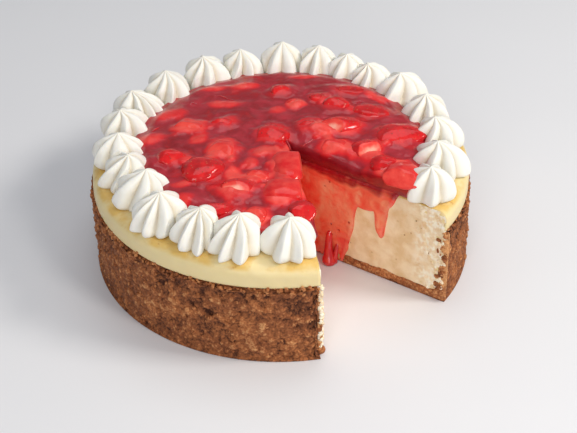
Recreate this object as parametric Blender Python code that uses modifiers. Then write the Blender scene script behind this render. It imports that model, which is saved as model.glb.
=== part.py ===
"""Baked cheesecake with a crumb crust, strawberry topping and a ring of piped cream stars.

One eighth of the cake is cut away. The origin is the centre of the cake's base, +Z is up,
and azimuths are counted from +X towards +Y. All lengths are metres.
"""
import math

import bmesh
import bpy
from mathutils import Matrix, Vector, noise

# Driving dimensions
CAKE_RADIUS = 0.114
GAP = 0.0003

CRUST_TOP = 0.0495
CRUST_WALL = 0.0052
CRUST_BASE = 0.0062
CRUST_FILLET = 0.0045
CRUST_CRAG = 0.0020
CRUST_STEPS = 100
CRUST_ROWS = 8

FILLING_TOP = 0.0630
FILLING_LIP = 0.0020
SHOULDER_REACH = 0.0055
FILLING_STEPS = 56

WEDGE_APEX = Vector((0.001, 0.002, 0.0))
RIGHT_CUT = math.radians(-35.4)
LEFT_CUT = math.radians(-80.4)
CUT_RELIEF = 0.0004
CUT_CELL = 0.011
BLOCK_LENGTH = 0.300
BLOCK_HEIGHT = 0.130
BLOCK_DEPTH = 0.200
BLOCK_FLOOR = -0.020

SAUCE_RADIUS = 0.0880
SAUCE_TOP = 0.0735
SAUCE_MOUND = 0.0020
SAUCE_EDGE = 0.0040
SAUCE_RIPPLE = 0.0010
SAUCE_STEPS = 42
OVERHANG_LEFT = 0.0035
OVERHANG_RIGHT = 0.0020

FILM_THICKNESS = 0.0016
FILM_EDGE = 0.06
FILM_COLUMNS = 16
FILM_ROWS = 2
FILM_START = 0.003
FILM_SUNK = 0.0012
DROP_SECTORS = 8

STAR_RIDGES = 8
STAR_GROOVE = 0.17
STAR_RING = 0.0945
STAR_TWIST = math.radians(14)
STAR_STRETCH = 1.12
STAR_TIP_FADE = 2.4
STAR_ROOM = 0.004
NEAR_ENOUGH = 0.002
HOLD_MARGIN = 0.00005
BERRY_TAPER = 0.22
BERRY_ROUGH = 0.09
BERRY_SLICE = 0.75
BERRY_FLOOR = 0.0695
BERRY_SECTORS = 8

# A star's side, from its flat underside to just below its tip: share of radius, share of height
STAR_PROFILE = ((0.88, 0.0), (1.00, 0.20), (0.92, 0.48), (0.64, 0.75), (0.22, 0.94))

# The same for a strawberry piece
BERRY_PROFILE = ((0.86, 0.0), (1.00, 0.62), (0.66, 0.93))

# Stars from the left cut round the back to the right cut:
# azimuth in degrees, tip radius, height, width
STARS = (
    (-88, 0.0912, 0.0205, 0.0300), (-105, 0.0923, 0.0215, 0.0300), (-119, 0.0935, 0.0210, 0.0290),
    (-134.5, 0.0963, 0.0215, 0.0300), (-150.5, 0.0880, 0.0200, 0.0300), (-164, 0.0912, 0.0200, 0.0280),
    (-177, 0.0958, 0.0205, 0.0290), (166, 0.0975, 0.0200, 0.0290), (153, 0.1000, 0.0200, 0.0290),
    (137, 0.0963, 0.0215, 0.0300), (119, 0.0969, 0.0215, 0.0300), (105, 0.0958, 0.0210, 0.0280),
    (89, 0.0990, 0.0225, 0.0300), (75.5, 0.0990, 0.0215, 0.0280), (63.5, 0.0969, 0.0205, 0.0270),
    (52.5, 0.0935, 0.0200, 0.0270), (37.5, 0.0969, 0.0215, 0.0310), (19.5, 0.0958, 0.0210, 0.0290),
    (4.0, 0.0935, 0.0205, 0.0280), (-12.5, 0.0945, 0.0205, 0.0300), (-28.0, 0.0960, 0.0205, 0.0280),
)

# Strawberry pieces: x, y, length, width, top (all metres), turn in degrees
BERRIES = (
    (0.001, 0.056, 0.012, 0.011, 0.0775, 20), (0.009, 0.040, 0.011, 0.009, 0.0765, 70),
    (0.024, 0.047, 0.011, 0.009, 0.0765, 10), (0.035, 0.038, 0.015, 0.012, 0.0785, -15),
    (0.036, 0.011, 0.022, 0.015, 0.0795, 12), (0.018, 0.012, 0.014, 0.013, 0.0780, 60),
    (0.044, 0.055, 0.022, 0.011, 0.0765, -8), (0.056, 0.030, 0.022, 0.012, 0.0765, -25),
    (0.0720, 0.002, 0.026, 0.017, 0.0785, 5), (0.0510, -0.014, 0.017, 0.015, 0.0790, 35),
    (0.0600, -0.028, 0.018, 0.013, 0.0775, -20), (0.0710, -0.0420, 0.025, 0.019, 0.0790, -38),
    (0.033, -0.010, 0.016, 0.012, 0.0775, -10), (-0.0045, 0.004, 0.018, 0.016, 0.0790, 5),
    (0.0025, -0.029, 0.028, 0.016, 0.0790, -80), (0.0020, -0.054, 0.023, 0.019, 0.0785, -12),
    (-0.053, 0.015, 0.018, 0.011, 0.0770, -5), (-0.034, 0.018, 0.014, 0.010, 0.0770, 15),
    (-0.063, -0.018, 0.016, 0.013, 0.0785, -12), (-0.0455, -0.030, 0.021, 0.018, 0.0795, 8),
    (-0.034, -0.010, 0.017, 0.014, 0.0780, 75), (-0.013, -0.039, 0.013, 0.009, 0.0770, 0),
    (-0.0240, -0.051, 0.020, 0.015, 0.0780, 15), (0.0115, -0.073, 0.014, 0.014, 0.0780, 40),
    (-0.037, -0.070, 0.021, 0.010, 0.0765, 6), (-0.014, -0.075, 0.011, 0.011, 0.0770, 65),
)

# Runs of sauce down a cut face: distance from the apex, half width, length below the top
RIGHT_RUNS = ((0.015, 0.040, 0.075), (0.055, 0.025, 0.018), (0.070, 0.0050, 0.034))
LEFT_RUNS = ((0.012, 0.030, 0.070), (0.045, 0.022, 0.014), (0.052, 0.0055, 0.036))

# Thick drops on a cut face: distance from the apex, distance in front of the face, height,
# half width, half depth, half height
RIGHT_DROPS = (
    (0.0700, 0.0000, 0.0330, 0.0034, 0.0028, 0.0060), (0.0335, 0.0010, 0.0130, 0.0020, 0.0026, 0.0140),
    (0.0385, 0.0005, 0.0110, 0.0016, 0.0022, 0.0130), (0.0355, 0.0042, 0.0022, 0.0042, 0.0042, 0.0050),
)
LEFT_DROPS = (
    (0.0520, 0.0000, 0.0310, 0.0034, 0.0028, 0.0060), (0.0350, 0.0008, 0.0120, 0.0022, 0.0028, 0.0140),
)

# Sauce gathered between the cuts: distance from the apex, height, half size along, across and up
CORNER_DROPS = ((0.003, 0.0250, 0.006, 0.006, 0.042), (0.014, 0.0015, 0.013, 0.011, 0.0065))


def reset_scene():
    """Remove every object of the open scene."""
    for item in list(bpy.data.objects):
        bpy.data.objects.remove(item, do_unlink=True)


def add_collection(name):
    """Add a collection to the scene and return it."""
    group = bpy.data.collections.new(name)
    bpy.context.scene.collection.children.link(group)
    return group


def add_material(name, colour, roughness):
    """Add a food surface of one colour."""
    surface = bpy.data.materials.new(name)
    surface.use_nodes = True
    shader = surface.node_tree.nodes["Principled BSDF"]
    shader.inputs["Base Color"].default_value = (*colour, 1.0)
    shader.inputs["Roughness"].default_value = roughness
    shader.inputs["Metallic"].default_value = 0.0
    return surface


def add_object(name, mesh, group, surface=None):
    """Put a mesh in a collection as a named object."""
    item = bpy.data.objects.new(name, mesh)
    group.objects.link(item)
    if surface is not None:
        mesh.materials.clear()
        mesh.materials.append(surface)
    return item


def as_cutter(item):
    """Keep a cutter out of the finished model."""
    item.hide_render = True
    item.display_type = "WIRE"
    return item


def apply_modifiers(item):
    """Give an object the mesh that its modifiers make."""
    graph = bpy.context.evaluated_depsgraph_get()
    mesh = bpy.data.meshes.new_from_object(item.evaluated_get(graph))
    item.modifiers.clear()
    item.data = mesh
    return item


def finish_mesh(name, form):
    """Triangulate a bmesh the same way each time, so that a solid and its room agree, and free it."""
    bmesh.ops.triangulate(form, faces=form.faces[:], quad_method="FIXED", ngon_method="BEAUTY")
    mesh = bpy.data.meshes.new(name)
    form.to_mesh(mesh)
    form.free()
    return mesh


def combine(item, other, operation):
    """Join, cut or intersect one solid with another and apply the result."""
    step = item.modifiers.new(operation.lower(), "BOOLEAN")
    step.operation = operation
    step.solver = "EXACT"
    step.object = other
    return apply_modifiers(item)


def turned(name, profile, steps, group, surface=None):
    """Turn a profile, listed down its outer side, about the upright axis."""
    mesh = bpy.data.meshes.new(name)
    points = [(radius, 0.0, height) for radius, height in profile]
    mesh.from_pydata(points, [(i, i + 1) for i in range(len(points) - 1)], [])
    item = add_object(name, mesh, group)
    screw = item.modifiers.new("turn", "SCREW")
    screw.axis = "Z"
    screw.angle = 2 * math.pi
    screw.steps = steps
    screw.render_steps = steps
    screw.use_merge_vertices = True
    screw.merge_threshold = 0.00001
    apply_modifiers(item)
    if surface is not None:
        item.data.materials.clear()
        item.data.materials.append(surface)
    return item


def arc(centre, radius, start, end, count):
    """Points of an arc in the radius-height plane; angles in degrees."""
    turns = [math.radians(start + (end - start) * i / count) for i in range(count + 1)]
    return [(centre[0] + radius * math.cos(a), centre[1] + radius * math.sin(a)) for a in turns]


def direction(azimuth):
    """Level unit vector at an azimuth."""
    return Vector((math.cos(azimuth), math.sin(azimuth), 0.0))


def left_normal():
    """Normal of the left cut face, pointing into the missing slice."""
    return direction(LEFT_CUT + math.pi / 2)


def right_normal():
    """Normal of the right cut face, pointing into the missing slice."""
    return direction(RIGHT_CUT - math.pi / 2)


def slice_shift(left, right):
    """Move of the slice that leaves these thicknesses standing on its left and right faces."""
    a, b = left_normal(), right_normal()
    spread = a.x * b.y - a.y * b.x
    return Vector(((left * b.y - right * a.y) / spread, (right * a.x - left * b.x) / spread, 0.0))


def cut_block(name, azimuth, normal, relief, group):
    """Half space on the open side of one cut; its face is flat, or uneven as a crumbly cut is."""
    form = bmesh.new()
    columns, rows = (round(BLOCK_LENGTH / CUT_CELL), round(BLOCK_HEIGHT / CUT_CELL)) if relief else (1, 1)
    bmesh.ops.create_grid(form, x_segments=columns, y_segments=rows, size=0.5)
    along = direction(azimuth)
    for point in form.verts:
        spot = WEDGE_APEX + along * (point.co.x * BLOCK_LENGTH)
        spot.z = BLOCK_FLOOR + (point.co.y + 0.5) * BLOCK_HEIGHT
        point.co = spot + normal * (relief * noise.noise(spot * 90.0))
    face = bmesh.ops.extrude_face_region(form, geom=form.faces[:])
    moved = [part for part in face["geom"] if isinstance(part, bmesh.types.BMVert)]
    bmesh.ops.translate(form, vec=normal * BLOCK_DEPTH, verts=moved)
    bmesh.ops.recalc_face_normals(form, faces=form.faces[:])
    return as_cutter(add_object(name, finish_mesh(name, form), group))


def slice_cutter(name, relief, group):
    """The missing slice: where the open sides of both cuts meet."""
    cutter = cut_block(name, RIGHT_CUT, right_normal(), relief, group)
    other = cut_block("left_side", LEFT_CUT, left_normal(), relief, group)
    combine(cutter, other, "INTERSECT")
    bpy.data.objects.remove(other)
    return as_cutter(cutter)


def moved_copy(item, name, shift, group):
    """Copy of a solid, moved by a vector."""
    mesh = item.data.copy()
    mesh.transform(Matrix.Translation(shift))
    return as_cutter(add_object(name, mesh, group))


def crust_cavity(clearance):
    """Profile of the crust's inside from the axis outwards and up to its rim."""
    wall = CAKE_RADIUS - CRUST_WALL - clearance
    floor = CRUST_BASE + clearance
    corner = (wall - CRUST_FILLET, floor + CRUST_FILLET)
    return [(0.0, floor)] + arc(corner, CRUST_FILLET, -90, 0, 2)


def make_crust(group, surface, cutter):
    """Crumb crust: a thin cup with crags on its wall and rim."""
    outer = [(CAKE_RADIUS, CRUST_TOP - 0.001 - (CRUST_TOP - 0.002) * i / CRUST_ROWS)
             for i in range(CRUST_ROWS + 1)]
    rim = [(CAKE_RADIUS - CRUST_WALL, CRUST_TOP - 0.0005), (CAKE_RADIUS - CRUST_WALL / 2, CRUST_TOP)]
    foot = [(CAKE_RADIUS - 0.001, 0.0), (0.0, 0.0)]
    crust = turned("crust", crust_cavity(0.0) + rim + outer + foot, CRUST_STEPS, group, surface)
    for point in crust.data.vertices:
        spot = point.co
        radius = math.hypot(spot.x, spot.y)
        if radius > CAKE_RADIUS - CRUST_WALL * 0.7 and spot.z > 0.0005:
            crag = noise.fractal(spot * 130.0, 0.9, 2.1, 3)
            pit = noise.noise(spot * 320.0)
            depth = CRUST_CRAG * min(1.0, 0.9 * abs(crag) + 0.7 * abs(pit))
            scale = (radius - depth) / radius
            top = spot.z - (0.0009 * (1 + crag) if spot.z > CRUST_TOP - 0.0015 else 0.0)
            point.co = (spot.x * scale, spot.y * scale, top)
    return combine(crust, cutter, "DIFFERENCE")


def make_filling(group, surface, cutter):
    """Baked filling: it fills the crust, steps out over its rim and ends in a round shoulder."""
    lip = CAKE_RADIUS - FILLING_LIP
    low = CRUST_TOP + GAP
    wall = CAKE_RADIUS - CRUST_WALL - GAP
    step = [(wall, low), (lip - 0.0005, low + 0.0004), (lip, low + 0.0015)]
    shoulder = arc((lip - SHOULDER_REACH, FILLING_TOP - SHOULDER_REACH), SHOULDER_REACH, 0, 90, 3)
    top = [(0.0, FILLING_TOP)]
    profile = crust_cavity(GAP) + step + shoulder + top
    filling = turned("filling", profile[::-1], FILLING_STEPS, group, surface)
    return combine(filling, cutter, "DIFFERENCE")


def span(half_length, half_width, turn, toward):
    """How far an ellipse reaches from its centre along a level direction."""
    angle = math.atan2(toward.y, toward.x) - turn
    return math.hypot(half_length * math.cos(angle), half_width * math.sin(angle))


def all_lumps():
    """Footprints of the stars and the strawberry pieces, as (centre, half length, half width, turn)."""
    lumps = []
    for azimuth, reach, height, width in STARS:
        centre = direction(math.radians(azimuth)) * ((reach + STAR_RING) / 2)
        lumps.append((centre, width / 2 * STAR_STRETCH, width / 2, math.radians(azimuth)))
    for x, y, length, width, top, turn in BERRIES:
        lumps.append((Vector((x, y, 0.0)), length / 2, width / 2, math.radians(turn)))
    return lumps


def hold_back(spot, own, lumps, clearance):
    """Keep a point on its own side of the planes between its lump and the others."""
    centre, half_length, half_width, turn = lumps[own]
    for index, (other, other_length, other_width, other_turn) in enumerate(lumps):
        apart = other - centre
        distance = apart.length
        if index == own or distance > half_length + other_length + NEAR_ENOUGH:
            continue
        toward = apart / distance
        mine = span(half_length, half_width, turn, toward)
        theirs = span(other_length, other_width, other_turn, toward)
        limit = distance * mine / (mine + theirs) - clearance
        excess = (spot - centre).dot(toward) - limit
        if excess > 0:
            spot = spot - toward * excess
    return spot


def hold_at_cuts(spot, grow):
    """Keep a topping from reaching past the sauce's own edge at the two cuts."""
    sides = ((left_normal(), OVERHANG_LEFT + grow), (right_normal(), OVERHANG_RIGHT + grow))
    excess, normal = min(((spot - WEDGE_APEX).dot(normal) - overhang, tuple(normal))
                         for normal, overhang in sides)
    return spot - Vector(normal) * max(0.0, excess)


def ringed_sphere(sectors, profile):
    """A sphere primitive with one ring for each profile entry, as a bmesh."""
    form = bmesh.new()
    bmesh.ops.create_uvsphere(form, u_segments=sectors, v_segments=len(profile) + 1, radius=1.0)
    return form


def profile_at(point, profile):
    """Share of radius and share of height that a profile gives a point of its ringed sphere."""
    polar = math.acos(max(-1.0, min(1.0, -point.z)))
    ring = round(polar / math.pi * (len(profile) + 1)) - 1
    if ring < 0:
        return 0.0, 0.0
    return profile[ring] if ring < len(profile) else (0.0, 1.0)


def star_mesh(name, index, lumps, grow):
    """A cream star piped through an open star nozzle, its tip leaning as it was pulled off."""
    azimuth, reach, height, width = STARS[index]
    centre = lumps[index][0]
    outward = direction(math.radians(azimuth))
    lean = outward * (reach - (reach + STAR_RING) / 2)
    low = FILLING_TOP + GAP
    form = ringed_sphere(2 * STAR_RIDGES, STAR_PROFILE)
    for point in form.verts:
        share, rise = profile_at(point.co, STAR_PROFILE)
        angle = math.atan2(point.co.y, point.co.x)
        ridge = (1 - math.cos(STAR_RIDGES * angle)) / 2 * min(1.0, STAR_TIP_FADE * share)
        heading = direction(angle + STAR_TWIST * rise + index)
        offset = heading * (width / 2 * share * (1.0 - STAR_GROOVE * ridge))
        offset += outward * (offset.dot(outward) * (STAR_STRETCH - 1))
        spot = centre + offset + heading * (grow * (share > 0)) + lean * rise * rise
        spot = hold_back(spot, index, lumps, GAP / 2 + HOLD_MARGIN - grow)
        spot.z = low + (height + grow) * rise if rise > 0 else low - STAR_ROOM * (grow > 0)
        point.co = spot
    return finish_mesh(name, form)


def berry_mesh(name, index, lumps, grow):
    """A cut strawberry piece standing out of the sauce: tapered, uneven and sliced flat on one side."""
    x, y, length, width, top, turn = BERRIES[index]
    own = len(STARS) + index
    ahead = direction(math.radians(turn))
    aside = direction(math.radians(turn + 90))
    form = ringed_sphere(BERRY_SECTORS, BERRY_PROFILE)
    for point in form.verts:
        share, rise = profile_at(point.co, BERRY_PROFILE)
        angle = math.atan2(point.co.y, point.co.x)
        level = Vector((math.cos(angle), math.sin(angle), 0.0)) * share
        uneven = 1 + BERRY_ROUGH * noise.noise(level * 1.7 + Vector((index * 3.1, 0.0, rise)))
        slim = 1 - BERRY_TAPER * level.x
        along = length / 2 * level.x * uneven
        across = max(-BERRY_SLICE, level.y) * width / 2 * slim * uneven
        outward = (ahead * level.x + aside * level.y) * grow
        spot = Vector((x, y, 0.0)) + ahead * along + aside * across + outward
        spot = hold_back(spot, own, lumps, GAP / 2 + HOLD_MARGIN - grow)
        spot = hold_at_cuts(spot, grow - GAP)
        spot.z = BERRY_FLOOR - grow + (top - BERRY_FLOOR + 2 * grow) * rise * (0.9 + 0.1 * uneven)
        point.co = spot
    return finish_mesh(name, form)


def run_drop(far, runs):
    """How far below the filling's top the sauce on a cut face reaches, at a distance from the apex."""
    reach = [length * math.sqrt(max(0.0, 1 - ((far - place) / half) ** 2)) for place, half, length in runs]
    return max(reach)


def film_on_cut(name, azimuth, normal, runs, group):
    """The sheet of sauce that ran down a cut face, thinning towards its lower edge."""
    form = bmesh.new()
    bmesh.ops.create_grid(form, x_segments=FILM_COLUMNS, y_segments=FILM_ROWS, size=0.5)
    face = bmesh.ops.extrude_face_region(form, geom=form.faces[:])
    front = {part for part in face["geom"] if isinstance(part, bmesh.types.BMVert)}
    end = max(place + half for place, half, length in runs)
    top = SAUCE_TOP - SAUCE_EDGE
    for point in form.verts:
        far = FILM_START + (end - FILM_START) * (point.co.x + 0.5)
        share = (point.co.y + 0.5) ** 2
        low = max(GAP, FILLING_TOP - run_drop(far, runs))
        depth = FILM_THICKNESS * (1 - 0.6 * math.exp(-share / FILM_EDGE)) if point in front else -FILM_SUNK
        spot = WEDGE_APEX + direction(azimuth) * far + normal * depth
        spot.z = low + (top - low) * share
        point.co = spot
    bmesh.ops.recalc_face_normals(form, faces=form.faces[:])
    return as_cutter(add_object(name, finish_mesh(name, form), group))


def drop(name, centre, size, turn, group):
    """A rounded drop of sauce."""
    form = bmesh.new()
    bmesh.ops.create_uvsphere(form, u_segments=DROP_SECTORS, v_segments=6, radius=1.0)
    mesh = finish_mesh(name, form)
    mesh.transform(Matrix.LocRotScale(centre, Matrix.Rotation(turn, 3, "Z"), Vector(size)))
    return as_cutter(add_object(name, mesh, group))


def sauce_layer(group, cutters):
    """The thick poured layer on the filling, mounded and rippled, up to its wavy outer edge."""
    low = FILLING_TOP + GAP
    edge = arc((SAUCE_RADIUS - SAUCE_EDGE, SAUCE_TOP - SAUCE_EDGE), SAUCE_EDGE, 0, 90, 2)
    rings = [(SAUCE_RADIUS * share, SAUCE_TOP + SAUCE_MOUND * (1 - share * share))
             for share in (0.78, 0.56, 0.34, 0.0)]
    profile = [(0.0, low), (SAUCE_RADIUS - 0.0015, low)] + edge + rings
    layer = turned("sauce", profile[::-1], SAUCE_STEPS, group)
    for point in layer.data.vertices:
        spot = point.co.copy()
        radius = math.hypot(spot.x, spot.y)
        wave = 1 + 0.012 * noise.noise(Vector((spot.x, spot.y, 0.0)) * 45.0)
        if radius > SAUCE_RADIUS * 0.9:
            spot.x *= wave
            spot.y *= wave
        if spot.z > SAUCE_TOP - 0.001:
            spot.z += SAUCE_RIPPLE * noise.noise(Vector((spot.x, spot.y, 0.0)) * 70.0)
        point.co = spot
    form = bmesh.new()
    form.from_mesh(layer.data)
    layer.data = finish_mesh("sauce", form)
    shifted = moved_copy(cutters["flat"], "sauce_edge", slice_shift(OVERHANG_LEFT, OVERHANG_RIGHT),
                         cutters["group"])
    combine(layer, shifted, "DIFFERENCE")
    bpy.data.objects.remove(shifted)
    return layer


def sauce_on_cuts(cutters):
    """Sauce that ran down both cut faces and gathered in the corner between them."""
    group = cutters["group"]
    run = film_on_cut("right_run", RIGHT_CUT, right_normal(), RIGHT_RUNS, group)
    pieces = [film_on_cut("left_run", LEFT_CUT, left_normal(), LEFT_RUNS, group)]
    for azimuth, normal, drops in ((RIGHT_CUT, right_normal(), RIGHT_DROPS),
                                   (LEFT_CUT, left_normal(), LEFT_DROPS)):
        for far, front, height, half_width, half_depth, half_height in drops:
            centre = WEDGE_APEX + direction(azimuth) * far + normal * front + Vector((0.0, 0.0, height))
            pieces.append(drop("drop", centre, (half_width, half_depth, half_height), azimuth, group))
    middle = (LEFT_CUT + RIGHT_CUT) / 2
    for far, height, along, across, up in CORNER_DROPS:
        centre = WEDGE_APEX + direction(middle) * far + Vector((0.0, 0.0, height))
        pieces.append(drop("pool", centre, (along, across, up), middle, group))
    for piece in pieces:
        combine(run, piece, "UNION")
        bpy.data.objects.remove(piece)
    clear = GAP + CUT_RELIEF
    inside = moved_copy(cutters["flat"], "clear_of_cuts", slice_shift(clear, clear), group)
    combine(run, inside, "INTERSECT")
    bpy.data.objects.remove(inside)
    return run


def trim_below(item, height, group):
    """Cut off what reaches below a level."""
    form = bmesh.new()
    bmesh.ops.create_cube(form, size=0.4, matrix=Matrix.Translation((0.0, 0.0, height - 0.2)))
    block = as_cutter(add_object("floor", finish_mesh("floor", form), group))
    combine(item, block, "DIFFERENCE")
    bpy.data.objects.remove(block)


def keep_largest(item):
    """Drop the loose scraps that the cuts leave."""
    form = bmesh.new()
    form.from_mesh(item.data)
    left = set(form.faces)
    shells = []
    while left:
        todo = [left.pop()]
        shell = set(todo)
        while todo:
            for edge in todo.pop().edges:
                for face in edge.link_faces:
                    if face in left:
                        left.discard(face)
                        shell.add(face)
                        todo.append(face)
        shells.append(shell)
    largest = max(shells, key=len)
    scraps = [face for face in form.faces if face not in largest]
    bmesh.ops.delete(form, geom=scraps, context="FACES")
    form.to_mesh(item.data)
    form.free()


def make_sauce(group, surface, cutters, lumps):
    """The strawberry sauce, shaped round every star and strawberry piece."""
    sauce = sauce_layer(group, cutters)
    runs = sauce_on_cuts(cutters)
    combine(sauce, runs, "UNION")
    bpy.data.objects.remove(runs)
    trim_below(sauce, GAP, cutters["group"])
    grow = GAP + 0.0001
    meshes = [star_mesh("star_room", i, lumps, grow) for i in range(len(STARS))]
    meshes += [berry_mesh("berry_room", i, lumps, grow) for i in range(len(BERRIES))]
    for mesh in meshes:
        room = as_cutter(add_object("room", mesh, cutters["group"]))
        combine(sauce, room, "DIFFERENCE")
        bpy.data.objects.remove(room)
    keep_largest(sauce)
    sauce.data.materials.clear()
    sauce.data.materials.append(surface)
    return sauce


def main():
    """Build the cake."""
    reset_scene()
    cake = add_collection("baked_cheesecake")
    cutters = {"group": add_collection("cutters")}
    cutters["slice"] = slice_cutter("slice", CUT_RELIEF, cutters["group"])
    cutters["flat"] = slice_cutter("flat_slice", 0.0, cutters["group"])
    crumb = add_material("crust", (0.30, 0.135, 0.05), 0.85)
    baked = add_material("filling", (0.80, 0.62, 0.33), 0.55)
    cream = add_material("cream", (0.90, 0.87, 0.80), 0.50)
    red = add_material("sauce", (0.42, 0.015, 0.025), 0.20)
    flesh = add_material("strawberry", (0.62, 0.03, 0.02), 0.25)
    lumps = all_lumps()
    make_crust(cake, crumb, cutters["slice"])
    make_filling(cake, baked, cutters["slice"])
    make_sauce(cake, red, cutters, lumps)
    for index in range(len(STARS)):
        name = f"star_{index + 1:02d}"
        add_object(name, star_mesh(name, index, lumps, 0.0), cake, cream)
    for index in range(len(BERRIES)):
        name = f"strawberry_{index + 1:02d}"
        add_object(name, berry_mesh(name, index, lumps, 0.0), cake, flesh)


main()
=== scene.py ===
"""Looks of a baked cheesecake: crumb crust, baked filling, strawberry sauce and piped cream stars.

All lengths are metres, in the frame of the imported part: the origin is the centre of the cake's base,
+Z is up, and azimuths are counted from +X towards +Y.
"""

import logging
import math
from dataclasses import dataclass
from enum import Enum

import bmesh
import bpy
import numpy as np
from mathutils import Matrix


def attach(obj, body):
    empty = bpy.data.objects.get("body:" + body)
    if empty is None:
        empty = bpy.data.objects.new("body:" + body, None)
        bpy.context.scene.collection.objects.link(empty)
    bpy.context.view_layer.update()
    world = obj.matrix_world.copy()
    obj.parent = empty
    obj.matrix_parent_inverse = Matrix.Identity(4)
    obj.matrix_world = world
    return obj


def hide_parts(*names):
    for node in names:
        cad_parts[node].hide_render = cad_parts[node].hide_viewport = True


Array = np.ndarray
Socket = bpy.types.NodeSocket
LOG = logging.getLogger("cheesecake")

FULL_TURN = 2 * math.pi

# Points nearer than this become one, and small crumbs end this far above the ground
WELD = 0.5e-6
CLEAR = 0.0001

# Large odd numbers that stir a cell's place, a seed and a channel into one random number
AXIS_FACTORS = np.array([73856093, 19349663, 83492791], np.uint64)
SEED_FACTOR = 7919
CHANNEL_FACTOR = 104729
FIRST_STIR = np.uint64(0x9E3779B97F4A7C15)
SECOND_STIR = np.uint64(0xBF58476D1CE4E5B9)
LOW_BITS = 0xFFFFFF

# How far light runs under a surface: metres of red, green and blue
BAKED_DEPTH = (0.004, 0.0025, 0.001)
CREAM_DEPTH = (0.0035, 0.003, 0.0022)
SAUCE_DEPTH = (0.004, 0.0008, 0.0008)
BERRY_DEPTH = (0.005, 0.001, 0.0008)

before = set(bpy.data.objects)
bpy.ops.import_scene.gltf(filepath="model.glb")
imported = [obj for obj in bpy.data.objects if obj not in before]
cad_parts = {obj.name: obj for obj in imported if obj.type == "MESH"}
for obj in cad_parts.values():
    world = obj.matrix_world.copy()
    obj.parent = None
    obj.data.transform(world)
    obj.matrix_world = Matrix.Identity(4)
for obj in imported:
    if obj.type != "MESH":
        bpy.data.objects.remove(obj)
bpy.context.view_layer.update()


# Numbers in space

@dataclass(frozen=True)
class Lattice:
    """Seeded noise on a cubic lattice, worked out for whole arrays of points."""

    cell: float
    seed: int = 0

    def random(self, cells: Array, channel: int = 0) -> Array:
        """One number from 0 to 1 for each lattice cell.

        The cell's three whole numbers are multiplied by large odd numbers, joined by exclusive or,
        and stirred twice by a shift and a product.

        Args:
            cells: whole numbers, shape (..., 3).
            channel: picks one of several unrelated numbers for the same cell.

        Returns:
            The numbers, shape (...).
        """
        keys = cells.astype(np.int64).astype(np.uint64) * AXIS_FACTORS
        own = np.uint64(SEED_FACTOR * self.seed + CHANNEL_FACTOR * channel + 1)
        mixed = (keys[..., 0] ^ keys[..., 1] ^ keys[..., 2] ^ own) * FIRST_STIR
        mixed = (mixed ^ (mixed >> np.uint64(29))) * SECOND_STIR
        mixed = mixed ^ (mixed >> np.uint64(32))
        return (mixed & np.uint64(LOW_BITS)).astype(float) / LOW_BITS

    def wave(self, points: Array) -> Array:
        """Smooth noise from -1 to 1: the eight corner numbers of a point's cell, eased between.

        Args:
            points: places, shape (..., 3).

        Returns:
            The noise, shape (...).
        """
        scaled = points / self.cell
        base = np.floor(scaled)
        part = scaled - base
        ease = part * part * (3 - 2 * part)
        total = np.zeros(points.shape[:-1])
        for corner in np.ndindex(2, 2, 2):
            weight = np.prod(np.where(np.array(corner) == 1, ease, 1 - ease), axis=-1)
            total += weight * self.random(base + corner)
        return 2 * total - 1

    def fractal(self, points: Array, octaves: int) -> Array:
        """Sum of ever finer waves, each half as large and half as strong as the one before.

        Args:
            points: places, shape (..., 3).
            octaves: how many waves are added.

        Returns:
            The noise, about -1 to 1, shape (...).
        """
        total = np.zeros(points.shape[:-1])
        for octave in range(octaves):
            finer = Lattice(self.cell / 2 ** octave, self.seed + octave)
            total += finer.wave(points) / 2 ** octave
        return total / (2 - 2 ** (1 - octaves))

    def pebbles(self, points: Array) -> tuple[Array, Array]:
        """Distance to the nearest of one random seed point a cell, and that seed's own number.

        Args:
            points: places, shape (..., 3).

        Returns:
            Distances as shares of a cell, and numbers from 0 to 1, each of shape (...).
        """
        scaled = points / self.cell
        base = np.floor(scaled)
        nearest = np.full(points.shape[:-1], 9.0)
        number = np.zeros(points.shape[:-1])
        for step in np.ndindex(3, 3, 3):
            cells = base + np.array(step) - 1
            jitter = np.stack([self.random(cells, channel) for channel in (1, 2, 3)], axis=-1)
            apart = np.linalg.norm(cells + jitter - scaled, axis=-1)
            closer = apart < nearest
            nearest = np.where(closer, apart, nearest)
            number = np.where(closer, self.random(cells, 4), number)
        return nearest, number

    def domes(self, points: Array) -> tuple[Array, Array, Array]:
        """Pebbles as domes: 1 less the square of the distance to the middle, down to 0 at 0.8 cells.

        Args:
            points: places, shape (..., 3).

        Returns:
            Heights from 0 to 1, distances to the middle and the pebbles' own numbers, shape (...).
        """
        apart, number = self.pebbles(points)
        return np.clip(1 - (apart / 0.8) ** 2, 0, 1), apart, number


def eased(values: Array, low: float, high: float) -> Array:
    """A smooth step from 0 below low to 1 above high."""
    share = np.clip((values - low) / (high - low), 0.0, 1.0)
    return share * share * (3 - 2 * share)


def unit(vectors: Array) -> Array:
    """The vectors brought to length one, shape (..., 3)."""
    return vectors / np.linalg.norm(vectors, axis=-1, keepdims=True)


def arc(middle: tuple[float, float], size: float, start: float, count: int) -> Array:
    """An arc about a middle, from an angle of start degrees to 0, shape (count, 2)."""
    turn = np.linspace(math.radians(start), 0, count)
    return np.array(middle) + size * np.stack([np.cos(turn), np.sin(turn)], -1)


def evenly(path: Array, count: int) -> Array:
    """Points at even distances along a path of straight pieces, shape (count, 2)."""
    length = np.concatenate([[0.0], np.cumsum(np.linalg.norm(np.diff(path, axis=0), axis=1))])
    place = np.linspace(0, length[-1], count)
    return np.stack([np.interp(place, length, path[:, axis]) for axis in range(path.shape[1])], -1)


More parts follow.
